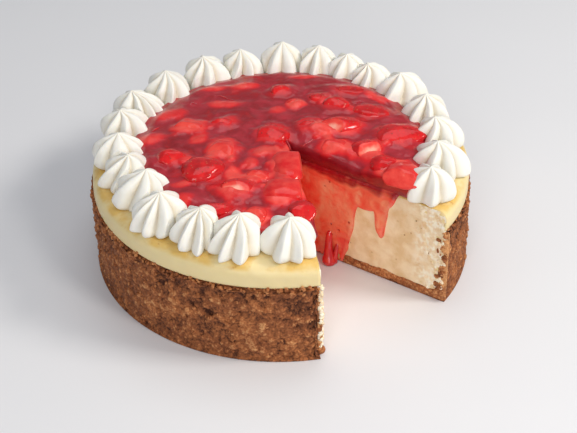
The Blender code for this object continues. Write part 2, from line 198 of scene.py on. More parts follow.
def smooth_path(points: Array, count: int) -> Array:
    """A Catmull-Rom curve through the points: cubic pieces whose slopes are half the neighbours' step.

    Args:
        points: places along the path, shape (n, d).
        count: how many points the curve gets.

    Returns:
        The curve, shape (count, d).
    """
    points = np.asarray(points, float)
    padded = np.concatenate([2 * points[:1] - points[1:2], points, 2 * points[-1:] - points[-2:-1]])
    place = np.linspace(0, len(points) - 1, count)
    first = np.minimum(place.astype(int), len(points) - 2)
    t = (place - first)[:, None]
    a, b, c, d = (padded[first + step] for step in range(4))
    return 0.5 * (2 * b + (c - a) * t + (2 * a - 5 * b + 4 * c - d) * t ** 2
                  + (3 * b - a - 3 * c + d) * t ** 3)


def level(azimuth: Array) -> Array:
    """Level unit vectors at the azimuths, shape (..., 3)."""
    azimuth = np.asarray(azimuth, float)
    return np.stack([np.cos(azimuth), np.sin(azimuth), np.zeros_like(azimuth)], axis=-1)


# The cake's plan and its cuts

@dataclass(frozen=True)
class Cut:
    """One cut face: an upright plane through the apex."""

    azimuth: float
    side: float
    apex: tuple[float, float] = (0.001, 0.002)

    @property
    def normal(self) -> Array:
        """Unit vector out of the cake, into the missing slice."""
        return level(self.azimuth + self.side * math.pi / 2)

    def place(self, far: Array, height: Array, out: Array) -> Array:
        """Points at a distance from the apex, a height, and a distance out of the face."""
        start = np.array([*self.apex, 0.0])
        far, height, out = np.broadcast_arrays(far, height, out)
        points = start + far[..., None] * level(self.azimuth) + out[..., None] * self.normal
        points[..., 2] = height
        return points

    def inside(self, points: Array) -> Array:
        """How far points lie behind the face, inside the cake."""
        return -(points[..., :2] - np.array(self.apex)) @ self.normal[:2]

    def along(self, points: Array) -> Array:
        """How far points lie from the apex, measured along the face."""
        return (points[..., :2] - np.array(self.apex)) @ level(self.azimuth)[:2]


RIGHT_CUT = Cut(math.radians(-35.4), -1.0)
LEFT_CUT = Cut(math.radians(-80.4), 1.0)


def corner_of_cuts(left: float, right: float) -> Array:
    """Where the cuts meet once each is moved into the missing slice.

    It solves the two plane equations: the move times each normal is that side's distance.

    Args:
        left: move of the left cut, out of its face.
        right: move of the right cut, out of its face.

    Returns:
        The corner, shape (2,).
    """
    normals = np.stack([LEFT_CUT.normal[:2], RIGHT_CUT.normal[:2]])
    return np.array(RIGHT_CUT.apex) + np.linalg.solve(normals, np.array([left, right]))


def depth_in_cake(points: Array, left: float = 0.0, right: float = 0.0) -> Array:
    """How far points lie from the missing slice, whose faces are moved by left and right."""
    return np.maximum(LEFT_CUT.inside(points) + left, RIGHT_CUT.inside(points) + right)


def reach(azimuth: Array, radius: Array, corner: Array) -> Array:
    """Distance from the corner along an azimuth to the circle of a radius about the cake's axis.

    It is the positive root of a quadratic; within 6 mm of the axis it shrinks in proportion to zero.

    Args:
        azimuth: directions from the corner.
        radius: radii of the circles.
        corner: the corner, shape (2,).

    Returns:
        The distances.
    """
    inner = 0.006
    held = np.maximum(radius, inner)
    along = corner[0] * np.cos(azimuth) + corner[1] * np.sin(azimuth)
    root = -along + np.sqrt(along ** 2 - corner @ corner + held ** 2)
    return root * np.minimum(radius / inner, 1.0)


def swept(path: Array, azimuths: Array, corner: Array) -> Array:
    """A path of (radius, height) carried round the corner of the cuts.

    Args:
        path: points of the path, shape (n, 2).
        azimuths: directions from the corner, shape (k,).
        corner: the corner, shape (2,).

    Returns:
        A grid of points, shape (k, n, 3).
    """
    turns = azimuths[:, None]
    far = reach(turns, path[None, :, 0], corner)
    height = np.broadcast_to(path[:, 1], far.shape)
    return np.stack([corner[0] + far * np.cos(turns), corner[1] + far * np.sin(turns), height], axis=-1)


def sector(low: Array, high: Array, azimuths: Array, shares: Array, corner: Array) -> list[Array]:
    """A body with the slice missing: its section lies between two paths from the axis outwards.

    The loop of both paths and the wall that joins their ends is carried round the corner; each end is
    closed by a grid that goes straight from one path to the other.

    Args:
        low: the lower or outer path as (radius, height), shape (n, 2).
        high: the upper or inner path, shape (n, 2).
        azimuths: directions from the corner, from the right cut round the back to the left cut.
        shares: steps from the one path to the other, from 0 to 1.
        corner: where the two end faces meet.

    Returns:
        The grids of the closed body.
    """
    ends = low[:, None] * (1 - shares[None, :, None]) + high[:, None] * shares[None, :, None]
    loop = np.concatenate([low, ends[-1, 1:-1], high[::-1]])
    patches = [swept(loop, azimuths, corner)]
    for azimuth in (azimuths[0], azimuths[-1]):
        cap = swept(ends.reshape(-1, 2), np.array([azimuth]), corner)
        patches.append(cap.reshape(*ends.shape[:2], 3))
    return patches


def on_cut(cut: Cut, low: Array, high: Array, share: Array) -> tuple[Array, Array, Array]:
    """A section between two paths, laid flat on a cut face.

    Args:
        cut: the face.
        low: the lower or outer path as (radius, height), shape (n, 2).
        high: the upper or inner path, shape (n, 2).
        share: place between the paths from 0 to 1, a grid that goes with shape (n, rows, 2).

    Returns:
        Distances along the face, heights and points of the grid, shape (n, rows, ...).
    """
    section = low[:, None] * (1 - share) + high[:, None] * share
    far = reach(np.array(cut.azimuth), section[..., 0], np.array(cut.apex))
    return far, section[..., 1], cut.place(far, section[..., 1], 0.0)


def from_axis(points: Array) -> Array:
    """Level distance of points from the cake's axis."""
    return np.hypot(points[..., 0], points[..., 1])


def round_the_back(count: int, crowd: float = 1.0) -> Array:
    """Azimuths from the right cut round the back to the left cut; a crowd above 1 is denser at both."""
    share = np.linspace(-1, 1, count)
    share = np.sign(share) * (1 - (1 - np.abs(share)) ** crowd)
    return RIGHT_CUT.azimuth + (share + 1) / 2 * (LEFT_CUT.azimuth + FULL_TURN - RIGHT_CUT.azimuth)


# Meshes

def weld(patches: list[Array]) -> tuple[Array, Array]:
    """Joins grids into one set of points and triangles; points within half a micron become one.

    Args:
        patches: grids of points, each of shape (rows, columns, 3).

    Returns:
        Points, shape (n, 3), and triangles, shape (m, 3), without those that shrank to a line.
    """
    triangles = []
    start = 0
    for patch in patches:
        rows, columns = patch.shape[:2]
        index = start + np.arange(rows * columns).reshape(rows, columns)
        a, b, c, d = index[:-1, :-1], index[1:, :-1], index[1:, 1:], index[:-1, 1:]
        triangles += [np.stack([a, b, c], -1).reshape(-1, 3), np.stack([a, c, d], -1).reshape(-1, 3)]
        start += rows * columns
    points = np.concatenate([patch.reshape(-1, 3) for patch in patches])
    keys = np.round(points / WELD).astype(np.int64)
    _, first, back = np.unique(keys, axis=0, return_index=True, return_inverse=True)
    joined = back.reshape(-1)[np.concatenate(triangles)]
    a, b, c = joined.T
    return points[first], joined[(a != b) & (b != c) & (c != a)]


class Form:
    """A closed surface in the making: a mesh whose points may still move and take paint."""

    def __init__(self, name: str, points: Array, triangles: Array) -> None:
        """Makes the mesh and turns its faces outwards.

        Args:
            name: name of the piece.
            points: places, shape (n, 3).
            triangles: corners of each face, shape (m, 3).
        """
        self.name = name
        self.mesh = bpy.data.meshes.new(name)
        self.mesh.from_pydata(points.tolist(), [], triangles.tolist())
        shell = bmesh.new()
        shell.from_mesh(self.mesh)
        bmesh.ops.recalc_face_normals(shell, faces=shell.faces[:])
        if shell.calc_volume(signed=True) < 0:
            bmesh.ops.reverse_faces(shell, faces=shell.faces[:])
        shell.to_mesh(self.mesh)
        shell.free()
        self.mesh.shade_smooth()

    @classmethod
    def of_patches(cls, name: str, patches: list[Array]) -> "Form":
        """A form whose grids are welded along their common edges."""
        return cls(name, *weld(patches))

    @staticmethod
    def vectors(source: bpy.types.bpy_prop_collection, name: str) -> Array:
        """One vector of each item of a mesh, shape (n, 3)."""
        values = np.empty(3 * len(source))
        source.foreach_get(name, values)
        return values.reshape(-1, 3)

    @property
    def points(self) -> Array:
        """Places of the points, shape (n, 3)."""
        return self.vectors(self.mesh.vertices, "co")

    @property
    def normals(self) -> Array:
        """Outward unit vectors at the points, shape (n, 3)."""
        return self.vectors(self.mesh.vertex_normals, "vector")

    def move(self, points: Array) -> None:
        """Puts the points at new places."""
        self.mesh.vertices.foreach_set("co", points.ravel())
        self.mesh.update()

    def swell(self, height: Array, floor: float = -math.inf) -> None:
        """Moves each point along its normal by a height in metres, and not below a floor."""
        moved = self.points + self.normals * height[:, None]
        moved[:, 2] = np.maximum(moved[:, 2], floor)
        self.move(moved)

    def paint(self, name: str, values: Array | float) -> None:
        """Keeps one number a point, held between 0 and 1, under a name that materials can read."""
        layer = self.mesh.attributes.new(name, "FLOAT", "POINT")
        held = np.broadcast_to(np.clip(values, 0.0, 1.0), len(self.mesh.vertices))
        layer.data.foreach_set("value", held.astype(np.float32))

    def finish(self, material: bpy.types.Material, slot: str, *nodes: str) -> bpy.types.Object:
        """Makes the piece, rides it on the cake and has it stand for CAD nodes.

        Args:
            material: the finish.
            slot: name of a material slot; it is not used.
            nodes: CAD nodes that the piece replaces.

        Returns:
            The finished object.
        """
        piece = bpy.data.objects.new(self.name, self.mesh)
        bpy.context.scene.collection.objects.link(piece)
        self.mesh.materials.append(material)
        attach(piece, "root")
        if nodes:
            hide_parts(*nodes)
        LOG.info("%s: %d triangles", self.name, len(self.mesh.polygons))
        return piece


def sphere(around: int, down: int) -> Array:
    """Unit vectors on a grid of azimuth and polar angle, shape (around + 1, down + 1, 3)."""
    turn = np.linspace(0, FULL_TURN, around + 1)[:, None]
    fall = np.linspace(0, math.pi, down + 1)[None, :]
    return np.stack([np.cos(turn) * np.sin(fall), np.sin(turn) * np.sin(fall),
                     np.cos(fall) * np.ones_like(turn)], axis=-1)


def scattered(name: str, grid: Array, places: Array, normals: Array, sizes: Array,
              draw: np.random.Generator) -> Form:
    """Many small copies of one closed shape, each turned so that its own +Z follows a normal.

    Each copy's frame is the normal, a vector across it and their cross product, turned by a random
    spin about the normal.

    Args:
        name: name of the piece.
        grid: the small shape, shape (rows, columns, 3).
        places: where the copies stand, shape (n, 3).
        normals: their upward vectors, shape (n, 3).
        sizes: scale of each copy along its three axes, shape (n, 3).
        draw: where the spins are drawn from.

    Returns:
        The form of all copies.
    """
    template, triangles = weld([grid])
    spins = draw.uniform(0, FULL_TURN, (len(places), 1))
    steep = np.abs(normals[:, 2:]) > 0.8
    across = unit(np.cross(np.where(steep, [[1.0, 0.0, 0.0]], [[0.0, 0.0, 1.0]]), normals))
    other = np.cross(normals, across)
    cosine, sine = np.cos(spins), np.sin(spins)
    axes = np.stack([across * cosine + other * sine, other * cosine - across * sine, normals], axis=1)
    points = places[:, None] + np.einsum("nti,nij->ntj", template[None] * sizes[:, None], axes)
    offsets = np.arange(len(places))[:, None, None] * len(template)
    return Form(name, points.reshape(-1, 3), (triangles[None] + offsets).reshape(-1, 3))


def welded_paint(grid: Array, paint: Array) -> Array:
    """The paint of a grid's points in the order in which a form is welded from it.

    Args:
        grid: the grid, shape (rows, columns, 3).
        paint: one number for each grid point.

    Returns:
        One number for each point of the form.
    """
    keys = np.round(grid.reshape(-1, 3) / WELD).astype(np.int64)
    _, first = np.unique(keys, axis=0, return_index=True)
    return paint.reshape(-1)[first]


# Finishes

@dataclass(frozen=True)
class Tint:
    """A colour as the photograph shows it, from 0 to 255."""

    red: int
    green: int
    blue: int

    @property
    def linear(self) -> tuple[float, float, float, float]:
        """The colour for a shader socket."""
        shares = [value / 255 for value in (self.red, self.green, self.blue)]
        return (*(s / 12.92 if s <= 0.04045 else ((s + 0.055) / 1.055) ** 2.4 for s in shares), 1.0)


class Recipe:
    """The node tree of one surface, built from a few named steps."""

    def __init__(self, name: str, **sockets: float | tuple) -> None:
        """Starts from the Principled shader.

        Args:
            name: name of the material.
            sockets: constant values of the shader, with underscores for the spaces in their names.
        """
        self.material = bpy.data.materials.new(name)
        self.material.use_nodes = True
        self.nodes = self.material.node_tree.nodes
        self.links = self.material.node_tree.links
        self.shader = self.nodes["Principled BSDF"]
        for socket, value in sockets.items():
            self.put(self.shader.inputs[socket.replace("_", " ")], value)
        self.place = self.nodes.new("ShaderNodeTexCoord").outputs["Object"]

    def put(self, socket: Socket, value: Socket | Tint | float | tuple) -> None:
        """Links a value into a socket, or sets it there when it is a constant or a colour."""
        if isinstance(value, Socket):
            self.links.new(value, socket)
        else:
            socket.default_value = value.linear if isinstance(value, Tint) else value

    def add(self, kind: str, output: str, **inputs: Socket | float) -> Socket:
        """Adds a node and fills its inputs.

        Args:
            kind: the node's type, without the word it shares with the others.
            output: name of the output that is wanted.
            inputs: constants or sockets, with underscores for the spaces in their names.

        Returns:
            The output socket.
        """
        node = self.nodes.new("ShaderNode" + kind)
        for name, value in inputs.items():
            self.put(node.inputs[name.replace("_", " ")], value)
        return node.outputs[output]

    def feed(self, socket: str, source: Socket) -> None:
        """Links a value into the shader."""
        self.links.new(source, self.shader.inputs[socket])

    def noise(self, size: float, detail: float = 3.0, warp: float = 0.0) -> Socket:
        """Cloudy noise with patches about size metres across."""
        return self.add("TexNoise", "Fac", Vector=self.place, Scale=1 / size, Detail=detail, Distortion=warp)

    def cells(self, size: float) -> Socket:
        """Rounded cells about size metres across: the distance to each one's middle."""
        return self.add("TexVoronoi", "Distance", Vector=self.place, Scale=1 / size)

    def paint(self, name: str) -> Socket:
        """The number that a form keeps under a name."""
        node = self.nodes.new("ShaderNodeAttribute")
        node.attribute_name = name
        return node.outputs["Fac"]

    def ramp(self, source: Socket, *stops: tuple[float, Tint]) -> Socket:
        """Colours at places from 0 to 1, blended between.

        Args:
            source: the value that picks the colour.
            stops: pairs of place and colour.

        Returns:
            The colour socket.
        """
        node = self.nodes.new("ShaderNodeValToRGB")
        ramp = node.color_ramp
        while len(ramp.elements) < len(stops):
            ramp.elements.new(0.5)
        for element, (place, tint) in zip(ramp.elements, stops):
            element.position = place
            element.color = tint.linear
        self.links.new(source, node.inputs["Fac"])
        return node.outputs["Color"]

    def spread(self, source: Socket, low: float, high: float, to_low: float = 0.0,
               to_high: float = 1.0) -> Socket:
        """A value stretched from one range to another and held there.

        Args:
            source: the value.
            low: where the first range starts.
            high: where it ends.
            to_low: what low becomes.
            to_high: what high becomes.

        Returns:
            The value socket.
        """
        return self.add("MapRange", "Result", Value=source, From_Min=low, From_Max=high, To_Min=to_low,
                        To_Max=to_high)

    def clouds(self, size: float, detail: float, low: float, high: float, warp: float = 0.0) -> Socket:
        """Cloudy noise, stretched so that low becomes 0 and high becomes 1."""
        return self.spread(self.noise(size, detail, warp), low, high)

    def pores(self, size: float, edge: tuple[float, float], patch: float,
              held: tuple[float, float]) -> Socket:
        """Small round pores, 1 in their middles, in patches only.

        Args:
            size: distance between pores.
            edge: where a pore starts to fade and where it ends, as shares of that distance.
            patch: size of the patches.
            held: the noise at which a patch starts and is full.

        Returns:
            The value socket.
        """
        dots = self.spread(self.cells(size), *edge, 1.0, 0.0)
        return self.times(dots, self.clouds(patch, 1.0, *held))

    def calc(self, operation: str, *values: Socket | float) -> Socket:
        """One step of arithmetic on two values."""
        node = self.nodes.new("ShaderNodeMath")
        node.operation = operation
        for socket, value in zip(node.inputs, values):
            self.put(socket, value)
        return node.outputs[0]

    def times(self, first: Socket | float, second: Socket | float) -> Socket:
        """The product of two values."""
        return self.calc("MULTIPLY", first, second)

    def blend(self, share: Socket, first: Socket | Tint, second: Socket | Tint) -> Socket:
        """One colour turning into another as share goes from 0 to 1."""
        node = self.nodes.new("ShaderNodeMix")
        node.data_type = "RGBA"
        self.put(node.inputs["Factor"], share)
        for name, value in (("A", first), ("B", second)):
            self.put(next(item for item in node.inputs if item.name == name and item.type == "RGBA"), value)
        return next(item for item in node.outputs if item.type == "RGBA")

    def relief(self, height: Socket, distance: float, strength: float = 1.0) -> None:
        """Adds fine relief of a depth in metres on top of what is there."""
        links = self.shader.inputs["Normal"].links
        before = {"Normal": links[0].from_socket} if links else {}
        bump = self.add("Bump", "Normal", Height=height, Distance=distance, Strength=strength, **before)
        self.feed("Normal", bump)


@dataclass(frozen=True)
class CrustFinish:
    """Baked biscuit crumbs: a brown body, painted shade in the gaps between crumbs, and pale grains that are
    partly the crumbs' own tone and partly a painted highlight on their tops.
    """

    # Painted shade: the colour of the gaps, pits and cracks between crumbs
    painted_gap_shade: Tint = Tint(70, 32, 14)
    body: Tint = Tint(154, 89, 49)
    warm: Tint = Tint(175, 105, 58)
    # Pale crumbs, also a painted highlight on the raised crumb tops
    grain: Tint = Tint(222, 162, 106)

    def build(self) -> bpy.types.Material:
        """The material; it reads the paint `relief`, 0 in the gaps and 1 on the grains: low paint gives
        painted shade, high paint a painted highlight.
        """
        recipe = Recipe("baked_crumbs", Roughness=0.75, Specular_IOR_Level=0.35)
        fine = recipe.noise(0.0012, 4.0)
        slow = recipe.noise(0.011, 2.0)
        height = recipe.calc("ADD", recipe.paint("relief"), recipe.spread(fine, 0.3, 0.7, -0.22, 0.22))
        body = recipe.blend(recipe.spread(slow, 0.4, 0.6), self.body, self.warm)
        # Painted shade where the relief paint is low
        dark = recipe.blend(recipe.spread(height, 0.14, 0.66), self.painted_gap_shade, body)
        # Painted highlight where the relief paint is high
        pale = recipe.spread(height, 0.66, 1.10)
        recipe.feed("Base Color", recipe.blend(pale, dark, self.grain))
        recipe.relief(recipe.cells(0.0024), -0.0011, 0.8)
        recipe.relief(fine, 0.0006, 0.8)
        return recipe.material


@dataclass(frozen=True)
class FillingFinish:
    """Baked filling's skin: pale yellow with gold and browned patches near the stars."""

    pale: Tint = Tint(235, 215, 161)
    gold: Tint = Tint(226, 188, 106)
    brown: Tint = Tint(196, 142, 68)

    def build(self) -> bpy.types.Material:
        """The material; it reads the paint `baked`, 1 where the oven coloured the top."""
        recipe = Recipe("baked_filling", Roughness=0.42, Specular_IOR_Level=0.4, Subsurface_Weight=0.12,
                        Subsurface_Radius=BAKED_DEPTH)
        patches = recipe.clouds(0.011, 4.0, 0.38, 0.68)
        baked = recipe.times(recipe.paint("baked"), patches)
        gold = recipe.blend(recipe.spread(baked, 0.0, 0.75), self.pale, self.gold)
        spots = recipe.times(recipe.clouds(0.0035, 2.0, 0.62, 0.74), baked)
        recipe.feed("Base Color", recipe.blend(spots, gold, self.brown))
        recipe.relief(recipe.noise(0.0045, 3.0), 0.0006, 0.35)
        recipe.relief(recipe.noise(0.0007, 2.0), 0.0001, 0.4)
        return recipe.material


@dataclass(frozen=True)
class CutFinish:
    """The filling's cut face: fine baked grain with small pores painted darker as painted shade, whiter where
    it crumbled.
    """

    cream: Tint = Tint(242, 220, 184)
    shade: Tint = Tint(226, 195, 148)
    white: Tint = Tint(250, 242, 220)
    # Painted shade in the pores
    pore: Tint = Tint(168, 120, 70)

    def build(self) -> bpy.types.Material:
        """The material; it reads the paint `crumbly`, 1 where the face broke up."""
        recipe = Recipe("cut_filling", Roughness=0.6, Specular_IOR_Level=0.3, Subsurface_Weight=0.1,
                        Subsurface_Radius=BAKED_DEPTH)
        cloud = recipe.clouds(0.009, 5.0, 0.38, 0.62)
        base = recipe.blend(cloud, self.cream, self.shade)
        patches = recipe.clouds(0.003, 3.0, 0.42, 0.6)
        crumbly = recipe.times(recipe.paint("crumbly"), patches)
        base = recipe.blend(crumbly, base, self.white)
        pore = recipe.pores(0.0042, (0.05, 0.17), 0.009, (0.52, 0.62))
        # Pores: painted shade in the holes, beside their dent in the relief
        recipe.feed("Base Color", recipe.blend(pore, base, self.pore))
        recipe.relief(recipe.noise(0.0011, 4.0), 0.0005, 0.6)
        recipe.relief(pore, -0.0006, 0.7)
        return recipe.material


@dataclass(frozen=True)
class CreamFinish:
    """Piped whipped cream: warm white, soft, with faint drag lines and small bubbles."""

    white: Tint = Tint(241, 239, 231)
    painted_valley_shade: Tint = Tint(222, 211, 188)

    def build(self) -> bpy.types.Material:
        """The material; it reads the paint `ridge`, 0 in the valleys and 1 on the ridges, and paints the
        valleys darker as painted shade.
        """
        recipe = Recipe("piped_cream", Roughness=0.48, Specular_IOR_Level=0.35, Subsurface_Weight=0.22,
                        Subsurface_Radius=CREAM_DEPTH)
        # Painted shade: the valleys between the ridges are darker
        base = recipe.blend(recipe.spread(recipe.paint("ridge"), 0.0, 0.55), self.painted_valley_shade, self.white)
        recipe.feed("Base Color", base)
        recipe.relief(recipe.noise(0.0028, 3.0), 0.0004, 0.35)
        recipe.relief(recipe.noise(0.0006, 2.0), 0.00012, 0.35)
        return recipe.material


@dataclass(frozen=True)
class SauceFinish:
    """Cooked strawberry sauce: a glossy dark red, in patches a lighter pink that is partly a painted sheen of
    reflected light, and bright where fruit lies beneath.
    """

    deep: Tint = Tint(134, 10, 20)
    # Lighter pink: partly the sauce's own tone, partly a painted sheen of reflected light
    haze_and_painted_sheen: Tint = Tint(172, 38, 50)
    fruit: Tint = Tint(214, 30, 34)
    salmon: Tint = Tint(240, 84, 72)
    name: str = "strawberry_sauce"
    rough: float = 0.30
    coat: float = 0.25

    def build(self) -> bpy.types.Material:
        """The material; it reads the paints `glow`, 1 over fruit, and `thick`, 1 in the deep edge."""
        recipe = Recipe(self.name, Roughness=self.rough, Specular_IOR_Level=0.35, Coat_Weight=self.coat,
                        Coat_Roughness=0.05, Subsurface_Weight=0.1, Subsurface_Radius=SAUCE_DEPTH)
        cloud = recipe.noise(0.010, 3.0, 0.6)
        # Patches of lighter pink: partly own tone, partly painted sheen
        body = recipe.blend(recipe.spread(cloud, 0.35, 0.65), self.haze_and_painted_sheen, self.deep)
        body = recipe.blend(recipe.times(recipe.paint("thick"), 0.85), body, self.deep)
        glow = recipe.calc("ADD", recipe.paint("glow"), recipe.spread(cloud, 0.3, 0.7, -0.22, 0.22))
        body = recipe.blend(recipe.spread(glow, 0.18, 0.62), body, self.fruit)
        recipe.feed("Base Color", recipe.blend(recipe.spread(glow, 0.62, 1.2), body, self.salmon))
        recipe.relief(recipe.noise(0.006, 3.0, 0.5), 0.0010, 0.5)
        return recipe.material


@dataclass(frozen=True)
class StainFinish:
    """Sauce that ran down the cut: a thin orange-red coat with paler patches where the filling shows."""

    red: Tint = Tint(240, 70, 52)
    orange: Tint = Tint(246, 122, 88)
    pale: Tint = Tint(241, 156, 118)
    deep: Tint = Tint(164, 16, 24)

    def build(self) -> bpy.types.Material:
        """The material; it reads the paint `thick`, 0 where the coat is thinnest."""
        recipe = Recipe("sauce_stain", Roughness=0.24, Specular_IOR_Level=0.5, Coat_Weight=0.35,
                        Coat_Roughness=0.1, Subsurface_Weight=0.1, Subsurface_Radius=SAUCE_DEPTH)
        cloud = recipe.clouds(0.011, 4.0, 0.36, 0.64, 0.8)
        body = recipe.blend(cloud, self.red, self.orange)
        patch = recipe.clouds(0.005, 3.0, 0.25, 0.60, 0.4)
        thin = recipe.spread(recipe.paint("thick"), 0.00, 0.28, 1.0, 0.0)
        body = recipe.blend(recipe.times(patch, thin), body, self.pale)
        body = recipe.blend(recipe.spread(recipe.paint("thick"), 0.6, 1.0), body, self.deep)
        pore = recipe.pores(0.0065, (0.07, 0.16), 0.010, (0.46, 0.54))
        # Pores: painted shade in the holes, in the sauce's deep red
        recipe.feed("Base Color", recipe.blend(pore, body, self.deep))
        recipe.relief(recipe.noise(0.0026, 4.0), 0.0009, 0.5)
        recipe.relief(pore, -0.0006, 0.7)
        return recipe.material


@dataclass(frozen=True)
class BerryFinish:
    """Cut strawberries under glaze: deep red skin, salmon flesh and a pale core."""

    dark: Tint = Tint(160, 8, 14)
    skin: Tint = Tint(214, 22, 26)
    flesh: Tint = Tint(238, 78, 66)
    core: Tint = Tint(248, 168, 146)

    def build(self) -> bpy.types.Material:
        """The material; it reads the paint `flesh`: 0 dark skin, a third red, two thirds flesh, 1 core."""
        recipe = Recipe("glazed_strawberry", Roughness=0.42, Specular_IOR_Level=0.1, Coat_Weight=0.7,
                        Coat_Roughness=0.04, Subsurface_Weight=0.15, Subsurface_Radius=BERRY_DEPTH)
        cloud = recipe.spread(recipe.noise(0.005, 3.0), 0.3, 0.7, -0.14, 0.14)
        depth = recipe.calc("ADD", recipe.paint("flesh"), cloud)
        colour = recipe.ramp(depth, (0.0, self.dark), (0.3, self.skin), (0.68, self.flesh), (1.0, self.core))
        recipe.feed("Base Color", colour)
        recipe.relief(recipe.noise(0.0026, 3.0), 0.0006, 0.4)
        return recipe.material


@dataclass(frozen=True)
class SeedFinish:
    """Strawberry seeds: straw yellow, browned in the sauce."""

    straw: Tint = Tint(206, 88, 56)
    brown: Tint = Tint(132, 22, 20)

    def build(self) -> bpy.types.Material:
        """The material, which varies from seed to seed."""
        recipe = Recipe("strawberry_seed", Roughness=0.35)
        share = recipe.clouds(0.004, 1.0, 0.35, 0.65)
        recipe.feed("Base Color", recipe.blend(share, self.straw, self.brown))
        return recipe.material


@dataclass(frozen=True)
class FloorFinish:
    """A plain pale table top."""

    pale: Tint = Tint(232, 232, 234)
    shade: Tint = Tint(226, 226, 229)

    def build(self) -> bpy.types.Material:
        """The material, almost even."""
        recipe = Recipe("pale_floor", Roughness=0.5)
        recipe.feed("Base Color", recipe.blend(recipe.noise(0.2, 2.0), self.pale, self.shade))
        return recipe.material


# Pads: thin closed skins with relief that lie on a cut face

def pad(name: str, front: Array, back: Array) -> Form:
    """A closed skin between two grids; its rim is a strip from the one's border to the other's.

    Args:
        name: name of the piece.
        front: outer grid, shape (rows, columns, 3).
        back: inner grid of the same shape.

    Returns:
        The form.
    """
    def border(grid: Array) -> Array:
        """The grid's outermost points in a closed loop."""
        return np.concatenate([grid[0], grid[1:, -1], grid[-1, -2::-1], grid[-2::-1, 0]])

    return Form.of_patches(name, [front, back, np.stack([border(front), border(back)])])


def border_share(shape: tuple[int, int], width: float) -> Array:
    """For each point of a grid, 0 on its border, easing to 1 at width steps inside.

    Args:
        shape: rows and columns of the grid.
        width: how many steps the change takes.

    Returns:
        The shares, in the grid's shape.
    """
    rows, columns = (np.minimum(np.arange(n), n - 1 - np.arange(n)) for n in shape)
    return eased(np.minimum(rows[:, None], columns[None, :]).astype(float), 0.0, width)


# The crust

